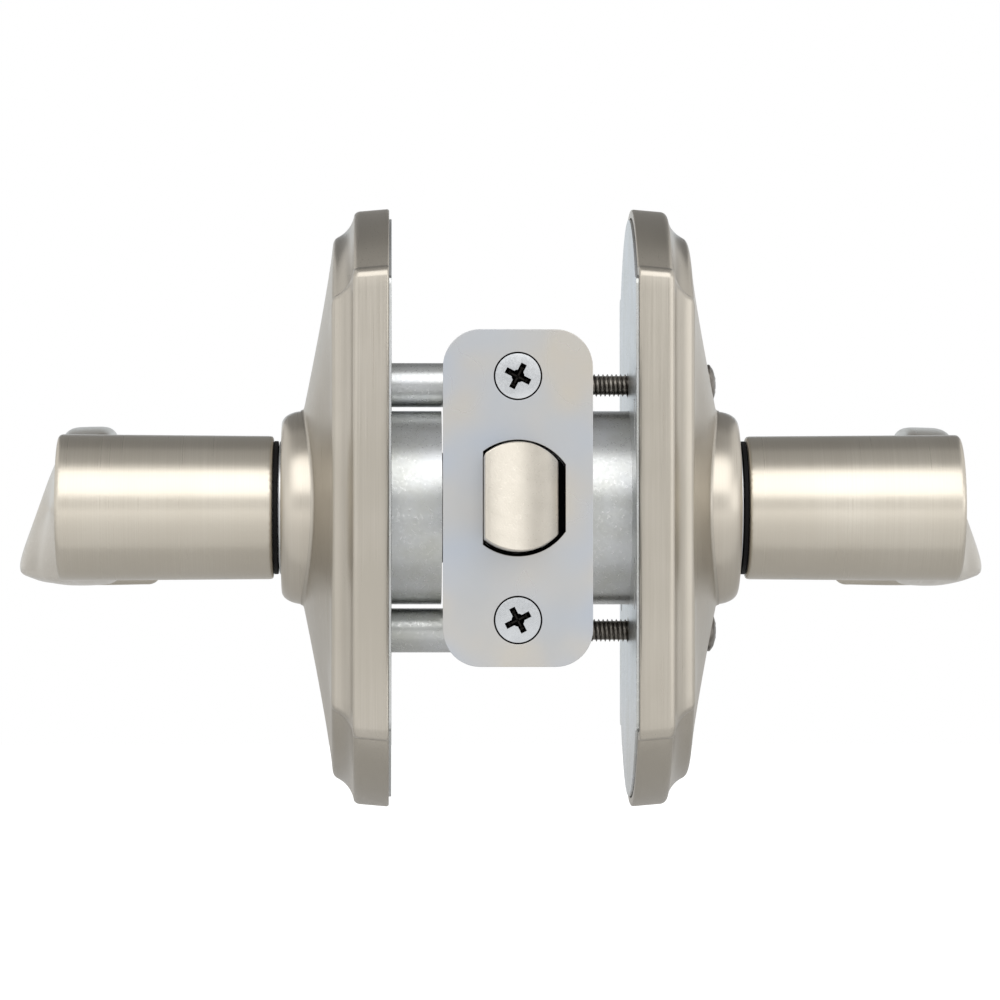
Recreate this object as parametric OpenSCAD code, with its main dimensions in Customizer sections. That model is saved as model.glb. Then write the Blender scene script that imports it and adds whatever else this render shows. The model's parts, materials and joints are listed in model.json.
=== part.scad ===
// Tubular lever set for a bored door: two levers on one spindle, stepped roses with spring drums
// behind them, and a spring latch that the levers draw back. It is shown as it stands in a door,
// with the door left away.
// X runs through the door, the outside at -X. Y runs into the door, away from its edge. Z is up.
// The origin is the middle of the door's cross bore, on the levers' axis.

/* [Door] */
// Thickness of the door that the set clamps
door_t = 42.8; // [38:0.1:52]
// Distance from the door's edge to the levers' axis
backset = 60.3; // [56:0.1:75]

/* [Rose] */
// Height of the rose
rose_h = 108; // [98:0.1:130]
// Width of the rose
rose_w = 68; // [66:0.1:90]
// Width of the notch in each corner
notch = 5.5; // [5.3:0.1:9]
// Slope of the arched end where it meets its notches
arch_slope = 47; // [45:1:52]
// Gap between the rose's rim and the door
rim_gap = 0.45; // [0.2:0.05:0.8]
// Height of the straight band round the rose
band_h = 6.8; // [5.6:0.1:9]
// Rise of the cove above that band
cove_h = 3.8; // [3:0.1:6]
// How far the lip and the cove step in
cove_w = 6.6; // [5:0.1:7]
// Rise of the face from the cove to the collar at the rose's sides
side_rise = 3.3; // [1:0.1:5]
// Rise of the face from the cove to the collar at its top and bottom
end_rise = 5.3; // [3:0.1:7]
// Wall of the rose
rose_wall = 1.5; // [1:0.1:2]

/* [Collar and bearing] */
// Radius of the collar where it comes through the rose
collar_r = 17.5; // [16:0.1:19]
// Height of the collar's end above the door
collar_h = 19.8; // [18.5:0.1:23]
// Outer radius of the bearing sleeve
sleeve_r = 12; // [11.4:0.1:13]
// Thickness of the nylon washer behind the lever
washer_t = 0.8; // [0.4:0.1:1.5]

/* [Lever] */
// Distance from the collar's end to the lever's neck
neck_gap = 1.5; // [1.3:0.1:3]
// Length of the neck
neck_len = 38.9; // [34:0.1:52]
// Radius of the neck at the rose
neck_r = 12.95; // [12.4:0.05:15]
// Length of the lever from its axis to its tip
lever_len = 110; // [85:1:140]
// Angle that the levers turn through
travel = 60; // [50:1:66]

/* [Mounting plate and spring drum] */
// Outer radius of the drum that holds the return spring
drum_r = 17.5; // [17:0.1:17.8]
// How far the drum reaches into the door
drum_in = 9; // [7:0.1:10]
// How far the drum reaches out of the door
drum_out = 10; // [9.4:0.1:10.4]
// Wall of the drum
drum_wall = 1.3; // [1:0.1:1.6]
// Thickness of the plate that lies on the door
plate_t = 2.2; // [1.6:0.1:2.6]
// Wire of the return spring
return_wire = 1.8; // [1.4:0.1:2]
// Turns of the return spring
return_turns = 5.5; // [3:0.5:6]

/* [Drive tube and spindle] */
// Radius of the drive tube inside each lever
tube_r = 10; // [9.4:0.1:10.6]
// Width of the square spindle
spindle_w = 7.94; // [7:0.01:9]
// Width of each stop lug on the drive tube
lug_w = 7; // [4:0.5:9]

/* [Through bolts] */
// Distance between the two through bolts
bolt_cc = 44.4; // [44:0.1:46]
// Radius of a through bolt
through_r = 2.1; // [1.8:0.05:2.4]
// Radius of a threaded post
post_r = 4; // [3.4:0.1:4.4]

/* [Latch plate] */
// Width of the latch plate
face_w = 25.4; // [25:0.1:30]
// Height of the latch plate
face_h = 57.15; // [54:0.05:70]
// Thickness of the latch plate
face_t = 1.4; // [1:0.1:2]
// Thickness of the stiffening plate behind it
back_t = 1.9; // [1:0.1:2.6]
// Radius of the plate's corners
face_r = 6.35; // [2:0.05:8]
// Distance between the plate's two screws
screw_cc = 41.3; // [38:0.1:44]
// Radius of a plate screw's head
screw_head_r = 3.85; // [3.6:0.05:4.4]
// Radius of a plate screw's shank
screw_r = 1.9; // [1.5:0.1:2.2]
// Length of a plate screw
screw_len = 19; // [12:1:26]

/* [Latch bolt] */
// Radius of the latch bolt's rounded top and bottom
bolt_r = 9.15; // [8.5:0.05:9.3]
// Width of the latch bolt across its flats
bolt_w = 12.6; // [11:0.1:13]
// How far the latch bolt's middle lies to its bevelled side
bolt_off = 0.5; // [0:0.1:0.6]
// How far the latch bolt stands out of the plate
throw = 12.7; // [10:0.1:13.4]
// Length of the latch bolt inside the plate
bolt_grip = 16.3; // [14:0.1:18]
// Radius of the bevel's bulge
bevel_r = 18; // [14:0.5:40]

/* [Latch case] */
// Outer radius of the latch barrel
barrel_r = 11.4; // [11.2:0.1:12.2]
// Wall of the barrel
barrel_wall = 1.1; // [0.8:0.1:1.2]
// Distance from the levers' axis to the barrel's rear rim
barrel_end = 25.2; // [24:0.1:28]
// Thickness of the case's two cheeks
cheek_t = 1.2; // [1:0.1:1.6]
// Distance between the cheeks
case_w = 13.8; // [13.6:0.1:14.4]

/* [Retractor] */
// Radius of the hub between the cheeks
hub_r = 8.2; // [8:0.1:8.4]
// Radius of the hub's two journals
journal_r = 7.2; // [6.8:0.1:7.4]
// Thickness of the hub's two fingers
finger_t = 5.2; // [4:0.1:5.4]
// Thickness of the tail's two arms
arm_t = 1.2; // [0.8:0.1:1.4]

/* [Hidden] */
$fn = 96;

run_gap = 0.06;     // between a shaft and its hole
fit_gap = 0.05;     // between pieces that are put together and stay so
side_gap = 0.3;     // beside a piece that slides or turns
eps = 0.01;         // how far a cut runs past the face that it cuts
face_x = door_t / 2;

// Heights above the door's face
edge_h = band_h + cove_h;
neck_h = collar_h + neck_gap;
neck_end = neck_h + neck_len;
neck_r_end = neck_r + 0.3;
roof_t = 1.2;
cam_top = drum_out - roof_t - 0.4;
cam_t = 2;
cover_t = 1.4;
tube_foot = drum_in + 1.8;
tube_len = neck_len - 2.6;

// Through bolts: their heads sit in spot faces on the sloping face of the inside rose
post_end = face_x - 8;
post_head = 1;
post_head_r = bolt_cc / 2 - drum_r - 0.1;
spacer_r = through_r + 1.5;
head_r = 3.8;
head_h = 1.5;
head_slot = 3.8;
head_seat = edge_h + end_rise - head_h;
bolt_end = -6;

// Measures of the rose's outline
corner_r = 2;
inner_r = 0.6;
lip_r = 1.35;
draft = 0.4;
side_steps = 4;
arch_steps = 6;
corner_steps = 2;
face_steps = 5;
// The arch's circle, and how far the notch's shelf lies below the rose's end
arch_r = (rose_w / 2 - notch) / sin(arch_slope);
arch_mid = rose_h / 2 - arch_r;
notch_h = arch_r * (1 - cos(arch_slope));
// The collar's hole is a polygon, so its corners lie this far out to clear the round collar
widest_step = atan2((rose_h / 2 - cove_w - notch_h) / side_steps, rose_w / 2 - cove_w - rose_wall);
hole_r = (collar_r + fit_gap) / cos(widest_step / 2);

silver = [0.78, 0.75, 0.70];
steel = [0.70, 0.72, 0.74];
zinc = [0.80, 0.80, 0.76];
dark = [0.15, 0.15, 0.16];

// ---------- helpers ----------

function lerp(a, b, t) = a + (b - a) * t;
function unit(v) = v / norm(v);

// Points of an arc about c, from angle a0 to angle a1
function arc(c, r, a0, a1, n) =
    [for (i = [0:n]) c + r * [cos(lerp(a0, a1, i / n)), sin(lerp(a0, a1, i / n))]];

// A quarter of the rose's outline, from its +x side to just short of its +y end: side, corner,
// notch and arch, all moved in by an inset that makes the corner sharper
function rose_quarter(inset) = let (
    a = rose_w / 2 - inset, shelf = rose_h / 2 - notch_h - inset, r = max(0.3, corner_r - 0.2 * inset),
    foot = shelf + inner_r - arch_mid, reach = sqrt(pow(arch_r - inset + inner_r, 2) - foot * foot),
    turn = atan2(foot, reach))
    concat([for (i = [0:side_steps - 1]) [a, (shelf - r) * i / side_steps]],
        arc([a - r, shelf - r], r, 0, 90, corner_steps),
        arc([reach, shelf + inner_r], inner_r, 270, 180 + turn, corner_steps),
        [for (i = [1:arch_steps - 1]) let (t = lerp(turn, 90, i / arch_steps))
            [0, arch_mid] + (arch_r - inset) * [cos(t), sin(t)]]);

// The whole outline, from its quarter
function all_round(q, b) = let (
    half = concat(q, [[0, b]], [for (i = [len(q) - 1:-1:1]) [-q[i].x, q[i].y]]))
    concat(half, [for (p = half) -p]);
function rose_outline(inset) = all_round(rose_quarter(inset), rose_h / 2 - inset);

// A rounded rectangle
function rounded(w, h, r) = concat(
    arc([w / 2 - r, h / 2 - r], r, 0, 90, 12), arc([r - w / 2, h / 2 - r], r, 90, 180, 12),
    arc([r - w / 2, r - h / 2], r, 180, 270, 12), arc([w / 2 - r, r - h / 2], r, 270, 360, 12));

// Triangles between closed rings of n points each; the last ring joins the first if looped
function skin(rings, n, looped = false) = [
    for (k = [0:rings - (looped ? 1 : 2)]) for (i = [0:n - 1])
        let (a = k * n + i, b = k * n + (i + 1) % n,
             c = ((k + 1) % rings) * n + (i + 1) % n, d = ((k + 1) % rings) * n + i)
        each [[a, b, c], [a, c, d]]];

// A round bar along X or along Y, between two places on that axis
module bar_x(x0, x1, r) translate([x0, 0, 0]) rotate([0, 90, 0]) cylinder(h = x1 - x0, r = r);
module bar_y(y0, y1, r) translate([0, y1, 0]) rotate([90, 0, 0]) cylinder(h = y1 - y0, r = r);
// A flat shape drawn in Y and Z, from x0 to x1
module slab_x(x0, x1) translate([x0, 0, 0]) rotate([90, 0, 90]) linear_extrude(x1 - x0) children();
// A flat shape drawn in X and Z, from y0 to y1
module slab_y(y0, y1) translate([0, y1, 0]) rotate([90, 0, 0]) linear_extrude(y1 - y0) children();
// A block between two corners
module block(a, b) translate(a) cube(b - a);
// A turned piece about the levers' axis, from a profile of [height above the door, radius]
module turned(profile) rotate([0, 90, 0]) rotate_extrude() polygon([for (p = profile) [p[1], p[0]]]);
// Puts a piece drawn on the door's inside face in its place, or its mirror image outside
module inside() translate([face_x, 0, 0]) children();
module outside() mirror([1, 0, 0]) translate([face_x, 0, 0]) children();

// A wire wound about X: from x0 to x1 with its middle at radius r
module coil_x(x0, x1, r, wire_r, turns, per_turn, sides) {
    n = ceil(turns * per_turn);
    points = [for (i = [0:n]) for (j = [0:sides - 1])
        let (a = 360 * turns * i / n, b = 360 * j / sides, q = r + wire_r * cos(b))
        [lerp(x0, x1, i / n) + wire_r * sin(b), q * cos(a), q * sin(a)]];
    ends = [[for (j = [sides - 1:-1:0]) j], [for (j = [0:sides - 1]) n * sides + j]];
    polyhedron(points, concat(skin(n + 1, sides), ends));
}

// ---------- rose ----------

// A curve from a to c that leaves a towards b and comes to c from b
function bend(a, b, c, n) = [for (i = [1:n]) let (t = i / n)
    (1 - t) * (1 - t) * a + 2 * t * (1 - t) * b + t * t * c];
// A place on the cove, in shares of its rise and its width
function on_cove(up, in) = [band_h + up * cove_h, in * cove_w];

// The rose's edge as [height, inset]: back corner, drafted band, rounded lip and cove
rose_edge = concat([[rim_gap, 0.3], [rim_gap + 0.4, 0]],
    [for (a = [0, 30, 60, 90]) [band_h - lip_r * (1 - sin(a)), lerp(lip_r, draft, cos(a))]],
    bend([band_h, lip_r], on_cove(0.09, 0.64), on_cove(0.76, 0.78), 5),
    bend(on_cove(0.76, 0.78), on_cove(0.96, 0.83), on_cove(1, 1), 3));
// The same edge inside the shell, from the face back to the rim
rose_lining = [[edge_h - rose_wall, cove_w + rose_wall], on_cove(0.3, 0.78) + [0, rose_wall],
    on_cove(0, 0.45) + [-rose_wall, rose_wall], [band_h - 2 * rose_wall, rose_wall],
    [rim_gap, rose_wall]];

function edge_ring(h, inset) = [for (p = rose_outline(inset)) [h, p.x, p.y]];
// The face climbs from the cove to the collar, almost straight at its ends and scooped at the sides
function face_ring(inset, drop, t) = [for (p = rose_outline(inset))
    let (d = unit(p), up = d.y * d.y, q = lerp(p, d * hole_r, t))
    [edge_h - drop + lerp(side_rise, end_rise, up) * pow(t, lerp(1.35, 1.15, up)), q.x, q.y]];

module rose_shell() {
    rings = concat(
        [for (e = rose_edge) edge_ring(e[0], e[1])],
        [for (k = [1:face_steps]) face_ring(cove_w, 0, k / face_steps)],
        [for (k = [face_steps:-2:1]) face_ring(cove_w + rose_wall, rose_wall, k / face_steps)],
        [for (e = rose_lining) edge_ring(e[0], e[1])]);
    n = len(rings[0]);
    polyhedron([for (ring = rings) each ring], skin(len(rings), n, true));
}

module outside_rose() color(silver) outside() rose_shell();

// The inside rose has a spot-faced hole for each through bolt
module inside_rose() color(silver) inside() difference() {
    rose_shell();
    for (s = [-1, 1]) translate([0, 0, s * bolt_cc / 2]) {
        bar_x(plate_t, neck_h, through_r + side_gap);
        bar_x(head_seat, neck_h, head_r + 0.2);
    }
}

// ---------- collar, sleeve and washer ----------

flange_r = bolt_cc / 2 - spacer_r - 0.2;
collar_profile = [[drum_out, sleeve_r + fit_gap], [drum_out, flange_r], [drum_out + 1.2, flange_r],
    [drum_out + 1.2, collar_r], [collar_h - 3.9, collar_r], [collar_h - 2.9, collar_r - 0.12],
    [collar_h - 1.6, collar_r - 0.6], [collar_h - 0.8, collar_r - 1], [collar_h - 0.15, collar_r - 1.6],
    [collar_h, collar_r - 2.3], [collar_h, sleeve_r + 0.6], [collar_h - 0.5, sleeve_r + fit_gap]];
module outside_collar() color(silver) outside() turned(collar_profile);
module inside_collar() color(silver) inside() turned(collar_profile);

module tube_x(x0, x1, ro, ri) turned([[x0, ri], [x1, ri], [x1, ro], [x0, ro]]);
module sleeve() tube_x(cam_top + 0.15, collar_h + 0.4, sleeve_r, tube_r + run_gap);
module outside_sleeve() color(steel) outside() sleeve();
module inside_sleeve() color(steel) inside() sleeve();

module washer() tube_x(neck_h - 0.1 - washer_t, neck_h - 0.1, neck_r - 0.9, tube_r + run_gap);
module outside_washer() color(dark) outside() washer();
module inside_washer() color(dark) inside() washer();

// ---------- lever ----------

neck_profile = [[neck_h, 0], [neck_h, neck_r - 0.5], [neck_h + 0.5, neck_r], [neck_end - 1, neck_r_end],
    [neck_end - 0.3, neck_r_end - 0.3], [neck_end, neck_r_end - 1], [neck_end, 0]];
// Stations along the arm: [beyond the neck's end, share of the lever's length, height,
// half height of the blade, half its thickness, lean of its foot away from the door]
arm_stations = [[-5.8, 0, 0, 12.0, 5.6, -3], [-5.2, 0.13, 0.7, 14.2, 5.5, -3], [-4.2, 0.27, 1, 14.6, 5.4, 1],
    [0.8, 0.45, 0.2, 13.6, 4.4, 11], [5.5, 0.62, -0.6, 12.0, 3.5, 20], [4.6, 0.78, -2.2, 10.6, 3.0, 17],
    [-2, 0.9, -4.1, 8.8, 2.6, 8], [-11.5, 0.955, -5.7, 7.0, 2.2, 0]];
arm_points = [for (s = arm_stations) [neck_end + s[0], s[1] * lever_len, s[2], s[3], s[4], s[5]]];
steps_between = 4;
blade_sides = 24;
blade_fullness = 0.42;
tip_steps = 4;
tip_round = 4;

// A smooth curve through four stations, between the second and the third
function smooth(p, q, r, s, t) = 0.5 * (2 * q + (r - p) * t + (2 * p - 5 * q + 4 * r - s) * t * t
    + (3 * q - p - 3 * r + s) * t * t * t);
arm_count = len(arm_points);
function arm_at(u) = let (
    i = min(floor(u), arm_count - 2), q = arm_points[i], r = arm_points[i + 1],
    p = i > 0 ? arm_points[i - 1] : 2 * q - r,
    s = i < arm_count - 2 ? arm_points[i + 2] : 2 * r - q) smooth(p, q, r, s, u - i);
function place(v) = [v[0], v[1], v[2]];
function arm_way(u) = unit(
    place(arm_at(min(u + 0.02, arm_count - 1))) - place(arm_at(max(u - 0.02, 0))));
// One section of the blade: a full oval, leaning, shrunk by k and pushed on along the arm
function blade_ring(u, k, push) = let (
    s = arm_at(u), way = arm_way(u), out = unit(cross(way, [0, 0, 1])), up = cross(out, way),
    thick_way = cos(s[5]) * out + sin(s[5]) * up, tall_way = cos(s[5]) * up - sin(s[5]) * out)
    [for (j = [0:blade_sides - 1]) let (a = 360 * j / blade_sides, c = cos(a), d = sin(a))
        place(s) + push * way + k * (s[4] * sign(c) * pow(abs(c), blade_fullness) * thick_way
            + s[3] * sign(d) * pow(abs(d), blade_fullness) * tall_way)];

module arm() {
    last = arm_count - 1;
    rings = concat(
        [for (i = [0:last * steps_between]) blade_ring(i / steps_between, 1, 0)],
        [for (i = [1:tip_steps]) let (a = 84 * i / tip_steps)
            blade_ring(last, cos(a), tip_round * sin(a))]);
    n = blade_sides;
    count = len(rings);
    ends = [[for (j = [n - 1:-1:0]) j], [for (j = [0:n - 1]) (count - 1) * n + j]];
    polyhedron([for (ring = rings) each ring], concat(skin(count, n), ends));
}

set_x = neck_h + 9;
set_r = 2.5;
set_sunk = 0.4;
module lever() difference() {
    union() {
        turned(neck_profile);
        arm();
    }
    bar_x(neck_h - eps, neck_h + tube_len + 0.3, tube_r + fit_gap);
    translate([set_x, 0, -neck_r_end - 1])
        cylinder(h = neck_r_end - tube_r + 2, r = set_r + fit_gap);
}
module outside_lever() color(silver) outside() lever();
module inside_lever() color(silver) inside() lever();

// A set screw under each neck bears on the drive tube
module set_screw() translate([set_x, 0, -neck_r_end + set_sunk]) difference() {
    cylinder(h = neck_r_end - set_sunk - tube_r, r = set_r);
    translate([0, 0, -eps]) cylinder(h = 1.6, r = 1.3, $fn = 6);
}
module lever_set_screws() color(steel) {
    inside() set_screw();
    outside() set_screw();
}

// ---------- mounting plate and spring drum ----------

// The plate lies on the door under the rose; its slots take the rose's clips
clip_slot = [2.4, 9];
clip_y = rose_w / 2 - 9;
clip_z = 14;
module mounting_plate(hole_r) difference() {
    slab_x(0, plate_t) polygon(rose_outline(rose_wall + 0.25));
    bar_x(-eps, plate_t + eps, drum_r + fit_gap);
    for (s = [-1, 1]) translate([0, 0, s * bolt_cc / 2]) bar_x(-eps, plate_t + eps, hole_r);
    for (y = [-1, 1]) for (z = [-1, 1]) translate([0, y * clip_y, z * clip_z])
        slab_x(-eps, plate_t + eps) square(clip_slot, center = true);
}
module outside_mounting_plate() color(zinc) outside() mounting_plate(post_r + fit_gap);
module inside_mounting_plate() color(zinc) inside() mounting_plate(through_r + side_gap);

drum_in_r = drum_r - drum_wall;
drum_lip = 0.8;
drum_lip_r = drum_r + 1.6;
drum_profile = [[-drum_in, drum_in_r], [drum_out - roof_t, drum_in_r],
    [drum_out - roof_t, sleeve_r + fit_gap], [drum_out, sleeve_r + fit_gap], [drum_out, drum_r],
    [plate_t + drum_lip, drum_r], [plate_t + drum_lip, drum_lip_r], [plate_t, drum_lip_r],
    [plate_t, drum_r], [-drum_in, drum_r]];
lug_reach = drum_r + 2.6;
lug_angle = 2 * asin(lug_w / 2 / drum_r);
// A wedge of the YZ plane, its middle at angle a
module wedge(a, spread, r) polygon([[0, 0], r * [cos(a - spread / 2), sin(a - spread / 2)],
    r / cos(spread / 2) * [cos(a), sin(a)], r * [cos(a + spread / 2), sin(a + spread / 2)]]);

// The drum hangs in the plate by its lip, with a window each side for the stop lugs
module spring_drum() difference() {
    turned(drum_profile);
    for (s = [0, 180]) slab_x(cam_top - cam_t - 0.2, cam_top + 0.2)
        wedge(s, travel + lug_angle + 4, lug_reach);
    for (s = [-1, 1]) translate([0, 0, s * bolt_cc / 2])
        bar_x(plate_t - eps, drum_out, post_head_r + fit_gap);
}
module outside_spring_drum() color(zinc) outside() spring_drum();
module inside_spring_drum() color(zinc) inside() spring_drum();

module drum_cover() tube_x(-drum_in, cover_t - drum_in, drum_in_r - fit_gap, tube_r + run_gap + 0.02);
module outside_drum_cover() color(steel) outside() drum_cover();
module inside_drum_cover() color(steel) inside() drum_cover();

return_r = (drum_in_r + tube_r) / 2 + 0.4;
module return_spring() coil_x(cover_t - drum_in + return_wire / 2 + 0.1,
    cam_top - cam_t - return_wire / 2 - 0.2, return_r, return_wire / 2, return_turns, 16, 6);
module outside_return_spring() color(dark) outside() return_spring();
module inside_return_spring() color(dark) inside() return_spring();

// ---------- drive tubes and spindle ----------

square_hole = spindle_w + 0.16;
ring_t = 0.8;
groove_x = -drum_in - 1.2;
module drive_tube() difference() {
    union() {
        bar_x(-tube_foot, neck_h + tube_len, tube_r);
        bar_x(cam_top - cam_t, cam_top, drum_in_r - 0.5);
        intersection() {
            bar_x(cam_top - cam_t, cam_top, lug_reach);
            for (s = [0, 180]) slab_x(cam_top - cam_t, cam_top) rotate(s + travel / 2)
                translate([0, -lug_w / 2]) square([lug_reach + 1, lug_w]);
        }
    }
    block([-tube_foot - eps, -square_hole / 2, -square_hole / 2],
        [neck_h + tube_len + eps, square_hole / 2, square_hole / 2]);
    tube_x(groove_x, groove_x + ring_t + 0.1, tube_r + 1, tube_r - 0.8);
}
module outside_drive_tube() color(zinc) outside() drive_tube();
module inside_drive_tube() color(zinc) inside() drive_tube();

module snap_ring() difference() {
    tube_x(groove_x + 0.05, groove_x + 0.05 + ring_t, tube_r + 1.3, tube_r - 0.7);
    block([groove_x - 1, -2, 0], [groove_x + 2, 2, tube_r + 2]);
}
module outside_snap_ring() color(steel) outside() snap_ring();
module inside_snap_ring() color(steel) inside() snap_ring();

spindle_reach = face_x + neck_h + tube_len - 3;
module spindle() color(steel) block([-spindle_reach, -spindle_w / 2, -spindle_w / 2],
    [spindle_reach, spindle_w / 2, spindle_w / 2]);

// ---------- posts and through bolts ----------

head_profile = [[head_seat, 0], [head_seat, head_r], [head_seat + 0.4, head_r],
    [head_seat + 1.1, head_r * 0.68], [head_seat + head_h, head_r * 0.3], [head_seat + head_h, 0]];
module threaded_posts() color(steel) for (s = [-1, 1]) translate([0, 0, s * bolt_cc / 2])
    difference() {
        union() {
            bar_x(-face_x - plate_t, post_end, post_r);
            bar_x(-face_x - plate_t - post_head, -face_x - plate_t, post_head_r);
        }
        bar_x(bolt_end - 2, post_end + eps, through_r + fit_gap);
    }
module screw_spacers() color(steel) for (s = [-1, 1]) translate([0, 0, s * bolt_cc / 2])
    inside() tube_x(plate_t, head_seat - rose_wall - 0.6, spacer_r, through_r + side_gap);
module through_bolts() color(steel) for (s = [-1, 1]) translate([0, 0, s * bolt_cc / 2])
    difference() {
        union() {
            inside() turned(head_profile);
            bar_x(bolt_end, face_x + head_seat + eps, through_r);
        }
        inside() for (a = [0, 90]) rotate([a, 0, 0])
            block([head_seat + 0.5, -0.5, -head_slot / 2], [head_seat + head_h + 1, 0.5, head_slot / 2]);
    }

// ---------- latch plate ----------

face_y = -backset;
back_y = face_y + face_t;
seat_y = back_y + back_t;
csk_h = 2.2;
// The bolt runs along the hole's plain side; the hole is wider round the rest of it
hole_gap = 0.7;
plain_gap = 0.1;
bevel_gap = 1.25;
bolt_left = bolt_off - bolt_w / 2;
bolt_right = bolt_off + bolt_w / 2;
module bolt_hole() intersection() {
    circle(r = bolt_r + hole_gap);
    translate([bolt_left - plain_gap, -2 * bolt_r])
        square([bolt_w + plain_gap + bevel_gap, 4 * bolt_r]);
}
module latch_faceplate() color(steel) difference() {
    slab_y(face_y, back_y) polygon(rounded(face_w, face_h, face_r));
    slab_y(face_y - eps, back_y + eps) bolt_hole();
    for (s = [-1, 1]) translate([0, 0, s * screw_cc / 2]) screw_room();
}
module latch_backplate() color(zinc) difference() {
    slab_y(back_y, seat_y) polygon(rounded(face_w - 1, face_h - 1, face_r - 0.5));
    slab_y(back_y - eps, seat_y + eps) bolt_hole();
    for (s = [-1, 1]) translate([0, 0, s * screw_cc / 2]) screw_room();
}
// The countersink and clearance hole for one plate screw
module screw_room() {
    bar_y(face_y - eps, seat_y + eps, screw_r + 0.5);
    translate([0, face_y - eps, 0]) rotate([-90, 0, 0])
        cylinder(h = csk_h, r1 = screw_head_r + 0.25, r2 = screw_r + 0.5);
}
point_len = 4;
point_y = face_y + screw_len - point_len;
// Countersunk wood screws, their heads flush in the plate
module faceplate_screws() color(steel) for (s = [-1, 1]) translate([0, 0, s * screw_cc / 2])
    difference() {
        union() {
            translate([0, face_y, 0]) rotate([-90, 0, 0])
                cylinder(h = csk_h, r1 = screw_head_r, r2 = screw_r + 0.4);
            bar_y(face_y + csk_h - eps, seat_y, screw_r + 0.4);
            bar_y(seat_y - eps, point_y, screw_r);
            translate([0, point_y, 0]) rotate([-90, 0, 0])
                cylinder(h = point_len, r1 = screw_r, r2 = 0.3);
        }
        rotate([0, s * 27, 0]) for (w = [[2.1, 0.5], [0.5, 2.1]])
            block([-w[0], face_y - eps, -w[1]], [w[0], face_y + 1.4, w[1]]);
    }

// ---------- latch case ----------

cheek_in = case_w / 2;
cheek_out = cheek_in + cheek_t;
barrel_in_r = barrel_r - barrel_wall;
tongue_h = sqrt(pow(barrel_in_r, 2) - pow(cheek_out, 2)) - 0.15;
bore_r = barrel_r + 0.7;
cheek_h = sqrt(pow(bore_r, 2) - pow(cheek_out, 2));
barrel_len = -barrel_end - seat_y;
tongue_y = -barrel_end - 8;
cheek_rear = 12.5;
rivet_r = 1.5;
tongue_rivet_y = -barrel_end - 4;
rear_rivet = [9.6, 6];
seat_front = 7.2 - barrel_end;
seat_t = 1.4;
seat_h = 2.5;
module latch_barrel() color(zinc) difference() {
    translate([0, -barrel_end, 0]) rotate([90, 0, 0]) rotate_extrude()
        polygon([[barrel_in_r, 0], [barrel_r, 0], [barrel_r, barrel_len], [barrel_in_r, barrel_len]]);
    translate([0, tongue_rivet_y, 0]) bar_x(-barrel_r - 1, barrel_r + 1, rivet_r + fit_gap);
}
module cheek() difference() {
    slab_x(cheek_in, cheek_out) polygon(concat(
        [[tongue_y, -tongue_h], [0.2 - barrel_end, -tongue_h], [0.2 - barrel_end, -cheek_h]],
        arc([cheek_rear - 4, 4 - cheek_h], 4, 270, 360, 6), arc([cheek_rear - 4, cheek_h - 4], 4, 0, 90, 6),
        [[0.2 - barrel_end, cheek_h], [0.2 - barrel_end, tongue_h], [tongue_y, tongue_h]]));
    bar_x(cheek_in - 1, cheek_out + 1, journal_r + run_gap);
    for (s = [-1, 1]) translate([0, rear_rivet.x, s * rear_rivet.y])
        bar_x(cheek_in - 1, cheek_out + 1, rivet_r + fit_gap);
    translate([0, tongue_rivet_y, 0]) bar_x(cheek_in - 1, cheek_out + 1, rivet_r + fit_gap);
    block([cheek_in - 1, seat_front - fit_gap, -seat_h - fit_gap],
        [cheek_out + 1, seat_front + seat_t + fit_gap, seat_h + fit_gap]);
}
module latch_cheek_left() color(zinc) mirror([1, 0, 0]) cheek();
module latch_cheek_right() color(zinc) cheek();

// Two long rivets space the cheeks behind the hub, and two short ones hold them in the barrel
module case_rivets() color(steel) {
    for (s = [-1, 1]) translate([0, rear_rivet.x, s * rear_rivet.y]) {
        bar_x(-cheek_out, cheek_out, rivet_r);
        bar_x(-cheek_in, cheek_in, rivet_r + 0.7);
        for (m = [0, 1]) mirror([m, 0, 0]) bar_x(cheek_out, cheek_out + 0.7, rivet_r + 0.8);
    }
    for (m = [0, 1]) mirror([m, 0, 0]) translate([0, tongue_rivet_y, 0]) bar_x(cheek_in, barrel_r, rivet_r);
}
// The plate that the bolt spring pushes against, its ends through the cheeks
module spring_seat() color(steel) difference() {
    block([-cheek_out, seat_front, -seat_h], [cheek_out, seat_front + seat_t, seat_h]);
    translate([0, seat_front, 0]) bar_y(-1, 0.4, spring_r + 0.6);
}

// ---------- latch bolt and tail ----------

nose_y = face_y - throw;
bolt_rear = face_y + bolt_grip;
nose_flat = 0.6;
spring_pocket = 6;
spring_r = 2.4;
spring_wire = 0.7;
spring_turns = 11;
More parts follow.
